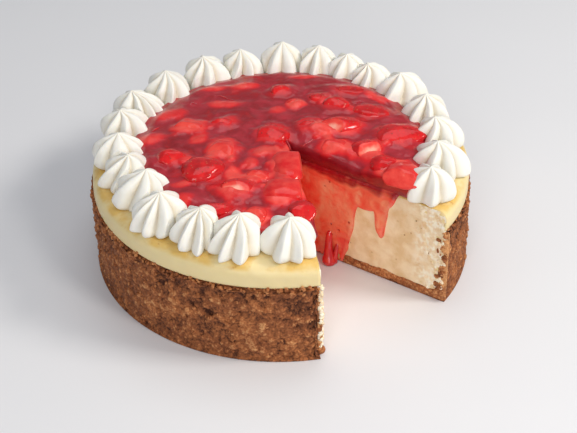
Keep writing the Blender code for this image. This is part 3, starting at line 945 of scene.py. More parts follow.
@dataclass
class Crust:
    """Crumb crust: a thin cup with crags on its wall and rim, and loose crumbs."""

    radius: float = 0.1140
    top: float = 0.0495
    wall: float = 0.0052
    base: float = 0.0062
    fillet: float = 0.0045
    foot: float = 0.0012
    outer_drop: float = 0.0008
    inner_drop: float = 0.0004
    sunk: float = 0.0018
    pebble: float = 0.0012
    rough_pebble: float = 0.0006
    bow: float = 0.0006
    pit: float = 0.0016
    crack: float = 0.0009
    broken: float = 0.0013
    rim_rise: float = 0.0005
    rim_wave: float = 0.0017
    steps: int = 630
    rows: int = 56
    crumbs: int = 1500
    finish: CrustFinish = CrustFinish()

    def sides(self) -> tuple[tuple[float, float, float, float], ...]:
        """Radius, lowest height, bend and top of the section's outer side, then of its inner side."""
        return ((self.radius, 0.0, self.foot, self.top - self.outer_drop),
                (self.radius - self.wall, self.base, self.fillet, self.top - self.inner_drop))

    def even_section(self, count: int) -> list[Array]:
        """Both sides of the section at even steps, from the axis outwards and up the wall.

        Args:
            count: points on each side.

        Returns:
            The outer and the inner side as (radius, height), each of shape (count, 2).
        """
        paths = []
        for (edge, low, bend, top), corners in zip(self.sides(), (4, 5)):
            turn = arc((edge - bend, low + bend), bend, -90, corners)
            paths.append(evenly(np.concatenate([[[0.0, low]], turn, [[edge, top]]]), count))
        return paths

    def paired_section(self, rows: int) -> list[Array]:
        """Both sides of the section point against point: floor, bend and wall.

        Args:
            rows: points up each wall.

        Returns:
            The outer and the inner side as (radius, height), each of shape (n, 2).
        """
        across, corners = 13, 5
        paths = []
        for edge, low, bend, top in self.sides():
            flat = np.stack([np.linspace(0, edge - bend, across + 1)[:-1], np.full(across, low)], -1)
            turn = arc((edge - bend, low + bend), bend, -90, corners)
            wall = np.stack([np.full(rows, edge), np.linspace(low + bend, top, rows + 1)[1:]], -1)
            paths.append(np.concatenate([flat, turn, wall]))
        return paths

    def crags(self, points: Array) -> tuple[Array, Array]:
        """Relief of pressed crumbs.

        Two sizes of pebbles stand up as domes, a slow wave bows the whole, and some cells are pits.

        Args:
            points: places on the crust, shape (n, 3).

        Returns:
            Height in metres below the full radius (negative), and the paint from 0 in gaps to 1, which the
            finish turns into painted shade in the gaps, pits and cracks and a painted highlight on the domes.
        """
        dome, apart, number = Lattice(0.0047, 3).domes(points)
        dome_fine, _, number_fine = Lattice(0.0024, 5).domes(points)
        dome = dome * (0.25 + 0.75 * number)
        dome_fine = dome_fine * (0.3 + 0.7 * number_fine)
        slow = Lattice(0.013, 7).fractal(points, 2)
        rough = eased(Lattice(0.024, 11).wave(points) + 16 * (points[:, 2] - 0.028), -0.5, 0.7)
        pit = eased(number, 0.30, 0.20) * (1 - eased(apart, 0.30, 0.70)) * rough
        crack = 1 - eased(np.abs(Lattice(0.0085, 13).fractal(points, 3)), 0.0, 0.16)
        crack = crack * eased(Lattice(0.016, 15).wave(points) + 0.8 * rough, 0.1, 0.7)
        height = -self.sunk + (self.pebble + self.rough_pebble * rough) * dome + self.pebble * dome_fine
        height = height + self.bow * slow - self.pit * pit - self.crack * crack
        # The paint sinks in pits and cracks and rises on the domes: painted shade and painted highlight in
        # the finish
        relief = 0.26 + 0.36 * dome + 0.44 * dome_fine + 0.14 * slow - 0.35 * pit - 0.20 * crack
        return height, relief

    def body(self, material: bpy.types.Material) -> None:
        """The cup: crags on its outer side, a ragged rim, and edges worn back at the cuts."""
        layers = np.linspace(0, 1, 8)
        form = Form.of_patches("crust", sector(*self.paired_section(self.rows), round_the_back(self.steps),
                                               layers, np.array(RIGHT_CUT.apex)))
        points = form.points
        height, relief = self.crags(points)
        outside = eased(from_axis(points), self.radius - self.wall, self.radius - 0.0016)
        lifted = eased(points[:, 2], 0.0004, 0.0016)
        rim = eased(points[:, 2], self.top - 0.0035, self.top - 0.0005) * outside
        at_cut = 1 - eased(depth_in_cake(points), 0.0, 0.0060)
        height = height - at_cut * self.broken * (1 + Lattice(0.005, 19).wave(points))
        moved = points + form.normals * (height * outside * lifted)[:, None]
        moved[:, 2] += rim * (self.rim_rise + self.rim_wave * Lattice(0.0055, 21).fractal(points, 2))
        moved[:, 2] = np.maximum(moved[:, 2], 0.0)
        form.move(moved)
        # Relief paint: painted shade in the gaps and a painted highlight on the crumbs
        form.paint("relief", relief)
        form.finish(material, "crust", "crust")

    def cut_skin(self, name: str, cut: Cut, worn: float, material: bpy.types.Material) -> None:
        """Crumbly skin on the crust's section, from the apex along the base and up the wall.

        Args:
            name: name of the piece.
            cut: the face.
            worn: share of the wall's width, from outside, that broke away.
            material: the finish.
        """
        columns, rows, back = 210, 9, -0.0016
        base_end, wall_start = 0.007, 0.014
        low, high = self.even_section(columns)
        ragged = 1.16 + 0.22 * Lattice(0.004, 23).wave(cut.place(low[:, 0], low[:, 1], 0.0))
        first = 0.03 + worn * eased(low[:, 0], self.radius - self.wall, self.radius)[:, None, None]
        share = (first + (1 - first) * np.linspace(0, 1, rows)[None, :, None]) * ragged[:, None, None]
        far, height, flat = on_cut(cut, low, high, share)
        crag = self.crags(flat.reshape(-1, 3))[0].reshape(far.shape)
        fade = border_share(far.shape, 2.0)
        out = -0.0004 + fade * (0.0018 - 0.0006 * eased(height, base_end, wall_start) + 0.8 * crag)
        edge = 0.0005 * Lattice(0.003, 31).wave(flat) * (1 - fade)
        front = cut.place(far, height + edge, out)
        front[..., 2] = np.maximum(front[..., 2], CLEAR)
        form = pad(name, front, cut.place(far, height, back))
        points = form.points
        wall = eased(points[:, 2], base_end, wall_start)
        crack = np.exp(-((cut.along(points) - self.radius + self.wall + 0.0008) / 0.0011) ** 2)
        crack = crack * eased(Lattice(0.0080, 33).wave(points), -0.2, 0.6)
        # The crack lowers the paint: painted shade in the crack
        form.paint("relief", 0.38 + 0.6 * self.crags(points)[1] + wall * (0.34 - 0.7 * crack))
        form.finish(material, "crust")

    def loose_crumbs(self, material: bpy.types.Material) -> None:
        """Small crumbs half sunk in the wall, more of them at the rim."""
        draw = np.random.default_rng(41)
        low, high = RIGHT_CUT.azimuth, LEFT_CUT.azimuth + FULL_TURN
        azimuth = draw.uniform(low + 0.01, high - 0.01, self.crumbs)
        height = draw.uniform(0.001, self.top, self.crumbs)
        rim = draw.random(self.crumbs) < 0.30
        height = np.where(rim, self.top + draw.normal(-0.0002, 0.0011, self.crumbs), height)
        places = self.radius * level(azimuth)
        places[:, 2] = np.minimum(height, self.top + 0.0016)
        sunk = np.where(rim, -0.0014 - 0.0012 * draw.random(self.crumbs), self.crags(places)[0] - 0.0003)
        places[:, :2] *= 1 + sunk[:, None] / self.radius
        normals = unit(level(azimuth) + draw.normal(0, 0.3, (self.crumbs, 3)))
        size = draw.uniform(0.0006, 0.0015, self.crumbs)[:, None] * draw.uniform(0.6, 1.25, (self.crumbs, 3))
        size[:, 2] *= 0.75
        form = scattered("crust_crumbs", sphere(7, 5), places, normals, size, draw)
        points = form.points
        form.swell(0.00025 * Lattice(0.0009, 43).wave(points), CLEAR)
        form.paint("relief", 0.62 + 0.35 * Lattice(0.0022, 47).wave(points))
        form.finish(material, "crust")

    def lumps(self, material: bpy.types.Material) -> None:
        """Larger broken crumbs along the wall's section on both cuts, and three at the left foot."""
        draw = np.random.default_rng(67)
        places, sizes = [], []
        for cut, count, out, largest in ((RIGHT_CUT, 30, -0.0005, 0.0026), (LEFT_CUT, 20, 0.0004, 0.0019)):
            far = draw.uniform(0.1075, 0.1130, count)
            height = draw.uniform(0.002, self.top - 0.001, count)
            places.append(cut.place(far, height, draw.uniform(out - 0.0010, out, count)))
            sizes.append(draw.uniform(0.0008, largest, (count, 3)))
        foot_far, foot_height, foot_out = np.array([[0.1105, 0.1118, 0.1085], [0.0028, 0.0052, 0.0020],
                                                    [0.0006, 0.0000, 0.0008]])
        places.append(LEFT_CUT.place(foot_far, foot_height, foot_out))
        sizes.append(np.array([[0.0028, 0.0024, 0.0026], [0.0019, 0.0016, 0.0020], [0.0018, 0.0022, 0.0018]]))
        places = np.concatenate(places)
        normals = unit(draw.normal(0, 1, places.shape))
        form = scattered("crust_lumps", sphere(14, 9), places, normals, np.concatenate(sizes), draw)
        points = form.points
        form.swell(0.0005 * Lattice(0.0016, 69).fractal(points, 2), CLEAR)
        form.paint("relief", 0.66 + 0.45 * Lattice(0.0030, 73).fractal(points, 2))
        form.finish(material, "crust")

    def build(self) -> None:
        """Makes every piece of the crust."""
        material = self.finish.build()
        self.body(material)
        self.lumps(material)
        self.cut_skin("crust_cut_right", RIGHT_CUT, 0.0, material)
        self.cut_skin("crust_cut_left", LEFT_CUT, 0.45, material)
        self.loose_crumbs(material)


# The filling

@dataclass
class Filling:
    """Baked filling: it fills the crust, steps out over its rim and ends in a round shoulder."""

    radius: float = 0.1140
    top: float = 0.0630
    lip: float = 0.0020
    shoulder: float = 0.0055
    crust_top: float = 0.0498
    wall: float = 0.1085
    floor: float = 0.0065
    fillet: float = 0.0045
    overlap: float = 0.0010
    smear: float = 0.0042
    steps: int = 420
    skin: FillingFinish = FillingFinish()
    face: CutFinish = CutFinish()

    def under_path(self, count: int) -> Array:
        """Along the crust's floor and wall, and out under the lip, as (radius, height)."""
        bend = arc((self.wall - self.fillet, self.floor + self.fillet), self.fillet, -90, 4)
        edge = self.radius - self.lip
        lip = [[self.wall, self.crust_top], [edge - 0.0008, self.crust_top + 0.0002],
               [edge, self.crust_top + 0.0012]]
        return evenly(np.concatenate([[[0.0, self.floor]], bend, lip]), count)

    def over_path(self, count: int) -> Array:
        """Over the top from the axis and down the round shoulder, denser at the shoulder."""
        start = self.radius - self.lip - self.shoulder
        bend = arc((start, self.top - self.shoulder), self.shoulder, 90, 12)
        flat = count - len(bend)
        share = 1 - (1 - np.linspace(0, 1, flat + 1)[:-1]) ** 1.6
        return np.concatenate([np.stack([start * share, np.full(flat, self.top)], -1), bend])

    def waves(self, points: Array) -> Array:
        """Slow unevenness of the baked skin, in metres: two sizes of smooth noise."""
        return 0.0005 * Lattice(0.020, 51).fractal(points, 2) + 0.0002 * Lattice(0.005, 53).wave(points)

    def body(self) -> None:
        """The filling itself; its skin is uneven where it shows."""
        count, layers = 34, np.linspace(0, 1, 9)
        form = Form.of_patches("filling", sector(self.under_path(count), self.over_path(count),
                                                 round_the_back(self.steps), layers,
                                                 np.array(RIGHT_CUT.apex)))
        points = form.points
        shown = eased(points[:, 2], self.crust_top + 0.0004, self.crust_top + 0.003)
        form.swell(shown * eased(from_axis(points), 0.070, 0.080) * self.waves(points))
        form.paint("baked", eased(points[:, 2], self.top - 0.0032, self.top - 0.0006))
        form.finish(self.skin.build(), "filling", "filling")

    def cut_skin(self, name: str, cut: Cut, material: bpy.types.Material) -> None:
        """The cut face: torn slow relief, fine grain and pores, rougher towards the crust.

        Its lower edge is pushed out over the crust's wall by the smear, in patches.

        Args:
            name: name of the piece.
            cut: the face.
            material: the finish.
        """
        columns, rows, sunk, drop, back = 180, 84, 0.0001, 0.0002, -0.0014
        low, high = self.under_path(columns), evenly(self.over_path(columns), columns)
        share = np.linspace(0.0, 1.0, rows)[None, :, None]
        around, rise = low.T
        smear = self.smear * eased(around, 0.100, 0.108) * (1 - eased(around, self.wall, self.wall + 0.001))
        smear *= eased(rise, 0.0065, 0.012) * (1 - eased(rise, 0.043, 0.049))
        smear *= 0.65 + 0.35 * Lattice(0.004, 72).wave(cut.place(around, rise, 0.0))
        low = low + np.stack([smear, -np.full(columns, self.overlap)], -1)
        far, height, flat = on_cut(cut, low, high, share)
        dome, _, number = Lattice(0.0021, 65).domes(flat)
        relief = 0.0003 + 0.00030 * Lattice(0.009, 61).fractal(flat, 3)
        relief += 0.00010 * Lattice(0.0016, 63).fractal(flat, 2)
        relief += self.crumbly(flat) * (0.0006 * (dome * number) - 0.0002)
        near_wall = eased(flat[..., 0] ** 2 + flat[..., 1] ** 2, 0.104 ** 2, 0.109 ** 2)
        blobs = 0.0007 * Lattice(0.0032, 79).fractal(flat, 2) * near_wall
        out = border_share(far.shape, 2.5) * (relief + blobs + sunk) - sunk
        far = far * (1 - 0.0004 / np.maximum(far, 0.01))
        front = cut.place(far, height - drop * (share[..., 0] > 0.9), out)
        form = pad(name, front, cut.place(far, height - drop, back))
        form.paint("crumbly", self.crumbly(form.points))
        form.finish(material, "filling")

    def crumbs(self, material: bpy.types.Material) -> None:
        """Whitish crumbs of filling that cling to both cuts near the crust's wall."""
        draw = np.random.default_rng(75)
        places = []
        for cut, edge, spread, out, count in ((RIGHT_CUT, self.wall + 0.0036, 0.0050, -0.0003, 60),
                                              (LEFT_CUT, self.wall + 0.0042, 0.0022, 0.0014, 150)):
            far = edge - np.abs(draw.normal(0, spread, count))
            height = draw.uniform(self.floor, self.crust_top - 0.001, count)
            places.append(cut.place(far, height, draw.uniform(min(-0.0002, out - 0.0008), out, count)))
        places = np.concatenate(places)
        normals = unit(draw.normal(0, 1, places.shape))
        sizes = draw.uniform(0.0005, 0.0018, places.shape)
        form = scattered("filling_crumbs", sphere(12, 8), places, normals, sizes, draw)
        form.swell(0.0006 * Lattice(0.0014, 77).fractal(form.points, 2))
        form.paint("crumbly", 1.0)
        form.finish(material, "filling")

    def crumbly(self, points: Array) -> Array:
        """Where the face broke up: near the crust's wall, in patches."""
        around = np.linalg.norm(points[..., :2], axis=-1)
        edge = eased(around, 0.078, 0.104)
        return edge * eased(Lattice(0.012, 71).fractal(points, 2) + 1.2 * edge, 0.2, 1.2)

    def build(self) -> None:
        """Makes every piece of the filling."""
        self.body()
        material = self.face.build()
        self.cut_skin("filling_cut_right", RIGHT_CUT, material)
        self.cut_skin("filling_cut_left", LEFT_CUT, material)
        self.crumbs(material)


# The strawberries

class Fruit(Enum):
    """How a strawberry piece was cut, as the paint value of its skin and of its cut."""

    DARK = (0.20, 0.22)
    RED = (0.20, 0.34)
    SALMON = (0.44, 0.68)
    CORED = (0.28, 0.98)


@dataclass(frozen=True)
class Berry:
    """One strawberry piece that stands out of the sauce."""

    x: float
    y: float
    length: float
    width: float
    top: float
    turn: float
    kind: Fruit
    face: float = -115.0
    tilt: float = 50.0

    @property
    def centre(self) -> Array:
        """Middle of the piece on the ground."""
        return np.array([self.x, self.y, 0.0])

    def near(self, points: Array) -> Array:
        """Distance from the middle as a share of the piece's own half size, in plan."""
        turn = math.radians(self.turn)
        step = points[..., :2] - self.centre[:2]
        along = step @ level(turn)[:2]
        across = step @ level(turn + math.pi / 2)[:2]
        return np.hypot(along / (self.length / 2), across / (self.width / 2))


D, R, S, C = Fruit.DARK, Fruit.RED, Fruit.SALMON, Fruit.CORED

# One row a piece: the fields of Berry in their order
BERRIES = tuple(Berry(*row) for row in (
    (0.001, 0.056, 0.012, 0.011, 0.0775, 20, R, -71, 38), (0.009, 0.040, 0.011, 0.009, 0.0765, 70, S),
    (0.024, 0.047, 0.011, 0.009, 0.0765, 10, D), (0.035, 0.038, 0.015, 0.012, 0.0785, -15, R),
    (0.036, 0.011, 0.022, 0.015, 0.0795, 12, C, -140, 40), (0.018, 0.012, 0.014, 0.013, 0.0780, 60, R),
    (0.044, 0.055, 0.022, 0.011, 0.0765, -8, D), (0.056, 0.030, 0.022, 0.012, 0.0765, -25, D),
    (0.072, 0.002, 0.026, 0.017, 0.0785, 5, R, -75, 40),
    (0.051, -0.014, 0.017, 0.015, 0.0790, 35, C, -73, 42), (0.060, -0.028, 0.018, 0.013, 0.0775, -20, D),
    (0.071, -0.042, 0.025, 0.019, 0.0790, -38, S, -120, 35), (0.033, -0.010, 0.016, 0.012, 0.0775, -10, S),
    (-0.0045, 0.004, 0.018, 0.016, 0.0790, 5, R), (0.0048, -0.028, 0.030, 0.018, 0.0790, -84, S, 1, 6),
    (0.0026, -0.053, 0.023, 0.021, 0.0785, -12, S, 1, 6),
    (-0.053, 0.015, 0.018, 0.011, 0.0770, -5, S), (-0.034, 0.018, 0.014, 0.010, 0.0770, 15, R),
    (-0.063, -0.018, 0.016, 0.013, 0.0785, -12, R, -65, 39), (-0.0445, -0.032, 0.022, 0.020, 0.0795, 8, D),
    (-0.034, -0.010, 0.017, 0.014, 0.0780, 75, S), (-0.013, -0.039, 0.013, 0.009, 0.0770, 0, S),
    (-0.024, -0.051, 0.020, 0.015, 0.0780, 15, C), (0.0115, -0.073, 0.014, 0.014, 0.0780, 40, R, -69, 42),
    (-0.037, -0.070, 0.021, 0.010, 0.0765, 6, R), (-0.014, -0.075, 0.011, 0.011, 0.0770, 65, S),
))

# Fruit that stays under the sauce and only lifts and brightens it: x, y, length, width, turn, rise
SUNKEN = (
    (-0.078, 0.004, 0.020, 0.013, 10, 0.0012), (-0.067, 0.031, 0.022, 0.012, 15, 0.0012),
    (-0.034, 0.041, 0.024, 0.010, -5, 0.0011), (-0.042, 0.060, 0.018, 0.008, 5, 0.0010),
    (-0.022, 0.063, 0.018, 0.008, 0, 0.0010), (0.016, 0.073, 0.022, 0.006, 0, 0.0007),
    (-0.026, -0.037, 0.012, 0.011, 20, 0.0010), (-0.010, -0.014, 0.018, 0.013, 30, 0.0014),
    (-0.017, -0.027, 0.012, 0.010, 60, 0.0009), (-0.057, -0.045, 0.013, 0.010, 0, 0.0008),
    (0.012, 0.039, 0.011, 0.009, 0, 0.0010), (-0.001, 0.032, 0.012, 0.010, 30, 0.0009),
    (0.062, 0.046, 0.020, 0.010, -20, 0.0009), (-0.055, -0.060, 0.016, 0.011, 30, 0.0009),
    (-0.048, 0.002, 0.014, 0.010, 40, 0.0007), (-0.001, -0.062, 0.014, 0.011, 0, 0.0010),
)


@dataclass
class Strawberries:
    """All strawberry pieces, their shapes and their seeds."""

    floor: float = 0.0695
    boxy: float = 2.3
    grow: float = 1.12
    taper: float = 0.20
    slice_at: float = 0.66
    second_slice_at: float = 0.72
    around: int = 56
    down: int = 32
    sauce_line: float = 0.0745
    seed_gap: float = 0.0048
    seed_size: tuple[float, float, float] = (0.00050, 0.00032, 0.00020)
    berries: tuple[Berry, ...] = BERRIES
    finish: BerryFinish = BerryFinish()
    seed_finish: SeedFinish = SeedFinish()

    def shape(self, index: int) -> tuple[Array, Array]:
        """A boxy rounded lump, tapered, uneven and sliced flat.

        The lump is a superellipsoid: a direction divided by its norm of power `boxy`. Each slice
        pushes back what stands out past its plane, all but a small share.

        Args:
            index: which piece.

        Returns:
            The grid of points, shape (around + 1, down + 1, 3), and the paint in the same shape.
        """
        berry = self.berries[index]
        way = sphere(self.around, self.down)
        body = way / (np.abs(way) ** self.boxy).sum(-1, keepdims=True) ** (1 / self.boxy)
        uneven = 0.15 * Lattice(0.9, 100 + index).fractal(way, 2)
        uneven += 0.04 * Lattice(0.35, 200 + index).wave(way)
        body = body * (1 + uneven)[..., None]
        body[..., 1] *= 1 - self.taper * body[..., 0]
        body[..., 2] *= 1 - 0.5 * self.taper * body[..., 0]
        face, tilt = math.radians(berry.face - berry.turn), math.radians(berry.tilt)
        normal = np.array([math.cos(face) * math.cos(tilt), math.sin(face) * math.cos(tilt), math.sin(tilt)])
        past = body @ normal - self.slice_at
        sliced_off = 0.12 if berry.kind is Fruit.DARK else 0.84
        body = body - normal * (sliced_off * np.maximum(past, 0.0))[..., None]
        other = np.array([-normal[1], normal[0], 0.25])
        past_other = body @ other - self.second_slice_at
        body = body - other * (sliced_off * np.maximum(past_other, 0.0))[..., None]
        skin, cut = berry.kind.value
        sliced = eased(past, -0.05, 0.10)
        middle = 1 - eased(np.linalg.norm(body - normal * 0.6, axis=-1), 0.15, 0.75)
        paint = skin + (cut - skin) * sliced * (0.45 + 0.55 * middle)
        rise = (berry.top - self.floor) / 2
        ahead, aside = level(np.radians([berry.turn, berry.turn + 90]))
        points = (berry.centre + ahead * body[..., :1] * berry.length / 2 * self.grow
                  + aside * body[..., 1:2] * berry.width / 2 * self.grow)
        points[..., 2] = self.floor + rise + body[..., 2] * rise * 1.06
        return points, paint

    def build(self) -> None:
        """Makes every strawberry piece and the seeds on them."""
        material = self.finish.build()
        places, normals = [], []
        for index, berry in enumerate(self.berries):
            points, paint = self.shape(index)
            form = Form.of_patches(f"strawberry_{index + 1:02d}", [points])
            values = welded_paint(points, paint)
            form.paint("flesh", values)
            form.finish(material, "strawberry", form.name)
            spots, outward = self.seed_spots(form, values, berry)
            places.append(spots)
            normals.append(outward)
        self.seeds(np.concatenate(places), np.concatenate(normals))

    def seed_spots(self, form: Form, paint: Array, berry: Berry) -> tuple[Array, Array]:
        """Where seeds sit: on the red skin above the sauce, a few millimetres apart.

        Args:
            form: the piece.
            paint: its flesh paint, low on the skin.
            berry: the piece's row.

        Returns:
            Places and outward vectors, each of shape (n, 3).
        """
        points, outward = form.points, form.normals
        skin = np.flatnonzero((points[:, 2] > self.sauce_line) & (paint < 0.40) & (outward[:, 2] > -0.1))
        order = np.random.default_rng(int(1e5 * abs(berry.x) + 7)).permutation(skin)
        boxes = np.round(points[order] / self.seed_gap).astype(int)
        _, first = np.unique(boxes, axis=0, return_index=True)
        chosen = order[first]
        return points[chosen], outward[chosen]

    def seeds(self, places: Array, normals: Array) -> None:
        """All seeds as one piece: flat drops lying in the skin."""
        draw = np.random.default_rng(9)
        sizes = np.array(self.seed_size) * draw.uniform(0.8, 1.15, (len(places), 1))
        form = scattered("strawberry_seeds", sphere(8, 5), places, normals, sizes, draw)
        form.finish(self.seed_finish.build(), "strawberry")


# The sauce

# Fine folds in the sauce's skin, as points in plan along each
FOLDS = (
    ((-0.0412, 0.0512), (-0.0356, 0.0503), (-0.0305, 0.0465), (-0.0262, 0.0445)),
    ((-0.0557, 0.0415), (-0.0533, 0.0434), (-0.0508, 0.0419)),
    ((-0.0771, 0.0110), (-0.0749, 0.0149), (-0.0721, 0.0176)),
    ((0.0036, 0.0091), (0.0029, 0.0035), (0.0046, -0.0043), (0.0068, -0.0130)),
    ((0.0122, -0.0067), (0.0164, -0.0036), (0.0206, -0.0016)),
    ((0.0376, 0.0214), (0.0397, 0.0145), (0.0417, 0.0076)),
    ((0.0452, 0.0399), (0.0497, 0.0422), (0.0538, 0.0396)),
)

# Runs down the cuts: distance from the apex, half width and length of each
RIGHT_RUNS = ((0.015, 0.039, 0.092), (0.055, 0.025, 0.018), (0.070, 0.0050, 0.034))
LEFT_RUNS = ((0.012, 0.030, 0.070), (0.045, 0.022, 0.014), (0.052, 0.0055, 0.036))

# Drips down the right cut: distance from the apex, height, distance out of the face and radius
DRIPS = {
    "sauce_drip_long": ((0.0346, 0.0210, 0.0002, 0.0000), (0.0346, 0.0195, 0.0009, 0.0014),
                        (0.0350, 0.0150, 0.0024, 0.0022), (0.0355, 0.0100, 0.0034, 0.0025),
                        (0.0364, 0.0055, 0.0044, 0.0033), (0.0371, 0.0025, 0.0050, 0.0045),
                        (0.0372, 0.0004, 0.0050, 0.0042)),
    "sauce_drip_short": ((0.0400, 0.0135, 0.0000, 0.0000), (0.0400, 0.0120, 0.0008, 0.0011),
                         (0.0400, 0.0085, 0.0020, 0.0015), (0.0398, 0.0045, 0.0030, 0.0019),
                         (0.0394, 0.0006, 0.0036, 0.0024)),
}

# The pool in the corner: distance from the apex, height and radius
POOL = ((0.004, 0.066, 0.0000), (0.004, 0.060, 0.0055), (0.005, 0.045, 0.0060), (0.006, 0.025, 0.0062),
        (0.010, 0.010, 0.0085), (0.013, 0.004, 0.0110), (0.014, 0.0004, 0.0100))


@dataclass
class Sauce:
    """The poured strawberry layer, its run down both cuts, its drips and its folds."""

    low: float = 0.0630
    top: float = 0.0735
    mound: float = 0.0020
    radius: float = 0.0880
    bulge: float = 0.0024
    outside: float = 0.0030
    overhang_left: float = 0.0035
    overhang_right: float = 0.0014
    sink: float = 0.0022
    ripple: float = 0.0009
    fine_ripple: float = 0.0005
    fold: float = 0.00045
    drip_glow: float = 0.62
    drip_thick: float = 0.16
    steps: int = 330
    rings: int = 112
    finish: SauceFinish = SauceFinish()
    stain: StainFinish = StainFinish()
    drops: SauceFinish = SauceFinish(name="sauce_drops", rough=0.12, coat=1.0)

    @property
    def ends(self) -> tuple[float, float]:
        """How far the layer stands out of the left and the right cut before its ends bulge."""
        return self.overhang_left - self.bulge, self.overhang_right - self.bulge

    def surface(self, points: Array) -> tuple[Array, Array]:
        """Height of the sauce's top over the plan, and how much fruit glows through.

        A mound falls off with the square of the radius; slow noise ripples it; each piece of fruit
        lifts it by a Gaussian bell, and just outside a piece the sauce sinks a little.

        Args:
            points: places in plan, shape (..., 3).

        Returns:
            Heights in metres and glow from 0 to 1.
        """
        around = np.linalg.norm(points[..., :2], axis=-1) / self.radius
        flat = points * np.array([1.0, 1.0, 0.0])
        height = self.top + self.mound * (1 - around ** 2)
        height = height + self.ripple * Lattice(0.019, 81).fractal(flat, 2)
        height = height + self.fine_ripple * Lattice(0.0075, 83).wave(flat)
        glow = 0.12 * (1 + Lattice(0.020, 85).wave(flat))
        ragged = 1 + 0.30 * Lattice(0.0070, 87).fractal(flat, 2)
        for berry in BERRIES:
            near = berry.near(points) * ragged
            lift = min(0.0022, max(0.0006, berry.top - self.top - 0.002))
            height = height + lift * np.exp(-(near / 1.25) ** 2) - 0.0005 * np.exp(-((near - 1.8) / 0.4) ** 2)
            strength = 0.5 + 0.6 * (berry.kind in (Fruit.SALMON, Fruit.CORED))
            glow = glow + strength * np.exp(-(near / 1.35) ** 4)
        for x, y, length, width, turn, rise in SUNKEN:
            lump = Berry(x, y, length, width, 0.0, turn, Fruit.RED)
            near = lump.near(points) * ragged
            height = height + rise * np.exp(-(near / 0.9) ** 2)
            glow = glow + 0.75 * np.exp(-(near / 0.95) ** 4)
        return height, glow

    def layer(self, material: bpy.types.Material) -> None:
        """The thick layer on the filling.

        A slab is built first; its height at each point is then scaled to the surface's, and its
        upright ends are pushed out along a half ellipse, so that they bulge like a thick liquid's edge.
        """
        corner = corner_of_cuts(*self.ends)
        radii = self.radius - self.outside
        share = np.linspace(0, 1, self.rings)
        low = np.stack([radii * share, np.full(self.rings, self.low)], -1)
        high = np.stack([radii * share, np.full(self.rings, self.top)], -1)
        shares = (1 - np.cos(np.linspace(0, math.pi, 15))) / 2
        form = Form.of_patches("sauce", sector(low, high, round_the_back(self.steps, 1.5), shares, corner))
        points = form.points
        rise = (points[:, 2] - self.low) / (self.top - self.low)
        height, glow = self.surface(points)
        around = from_axis(points)
        nose = np.sqrt(np.clip(1 - (2 * rise - 1) ** 2, 0, 1))
        cut = self.nearest_cut_push(points)
        spread = nose * (1 - eased(radii - around, 0.0, 0.004)) * self.outside
        outward = points[:, :2] / np.maximum(around, 0.001)[:, None]
        wavy = 1 + 0.5 * Lattice(0.012, 91).fractal(points, 2)
        moved = points.copy()
        moved[:, :2] += outward * (spread * wavy)[:, None] + cut * (nose * wavy)[:, None]
        moved[:, 2] = self.low + rise * (height - self.low - self.fall(points))
        form.move(moved)
        form.paint("glow", glow * (0.25 + 0.75 * eased(rise, 0.75, 1.0)))
        form.paint("thick", (1 - eased(depth_in_cake(points, *self.ends), 0.0, 0.003)) * (1 - 0.4 * rise))
        form.finish(material, "sauce", "sauce")

    def fall(self, points: Array) -> Array:
        """How far the sauce's top sinks towards its rim and the cuts, eased over some millimetres."""
        rim = self.radius - self.outside - from_axis(points)
        inset = np.minimum(depth_in_cake(points, *self.ends), rim)
        return self.sink * (1 - eased(inset, -0.0002, 0.0075))

    def folds(self, material: bpy.types.Material) -> None:
        """Fine folds in the skin: half-sunk ridges along short paths, thinning out at both ends.

        A ridge's section is an ellipse, wider than it is high; its size follows the sine of the
        place along the path, and its middle stays at the sauce's height.
        """
        count, flatness = 40, 1.5
        size = self.fold * np.sin(np.linspace(0, math.pi, count))[:, None, None]
        turn = np.linspace(0, FULL_TURN, 13)[None, :, None]
        upward = np.array([0.0, 0.0, 1.0])
        grids = []
        for fold in FOLDS:
            path = np.column_stack([smooth_path(np.array(fold), count), np.zeros(count)])
            across = np.cross(upward, unit(np.gradient(path, axis=0)))
            path[:, 2] = self.surface(path)[0] - self.fall(path) + 0.1 * self.fold
            grids.append(path[:, None] + size * (flatness * np.cos(turn) * across[:, None]
                                                 + np.sin(turn) * upward))
        form = Form.of_patches("sauce_folds", grids)
        form.paint("glow", 0.3)
        form.paint("thick", 0.0)
        form.finish(material, "sauce")

    def nearest_cut_push(self, points: Array) -> Array:
        """How far the ends bulge out, as level vectors: along the normal of the nearer cut."""
        left, right = self.ends
        deep_left, deep_right = LEFT_CUT.inside(points) + left, RIGHT_CUT.inside(points) + right
        use_left = (deep_left > deep_right)[:, None]
        normal = np.where(use_left, LEFT_CUT.normal[:2], RIGHT_CUT.normal[:2])
        depth = np.maximum(deep_left, deep_right)
        return normal * (self.bulge * (1 - eased(depth, 0.0, 0.004)))[:, None]

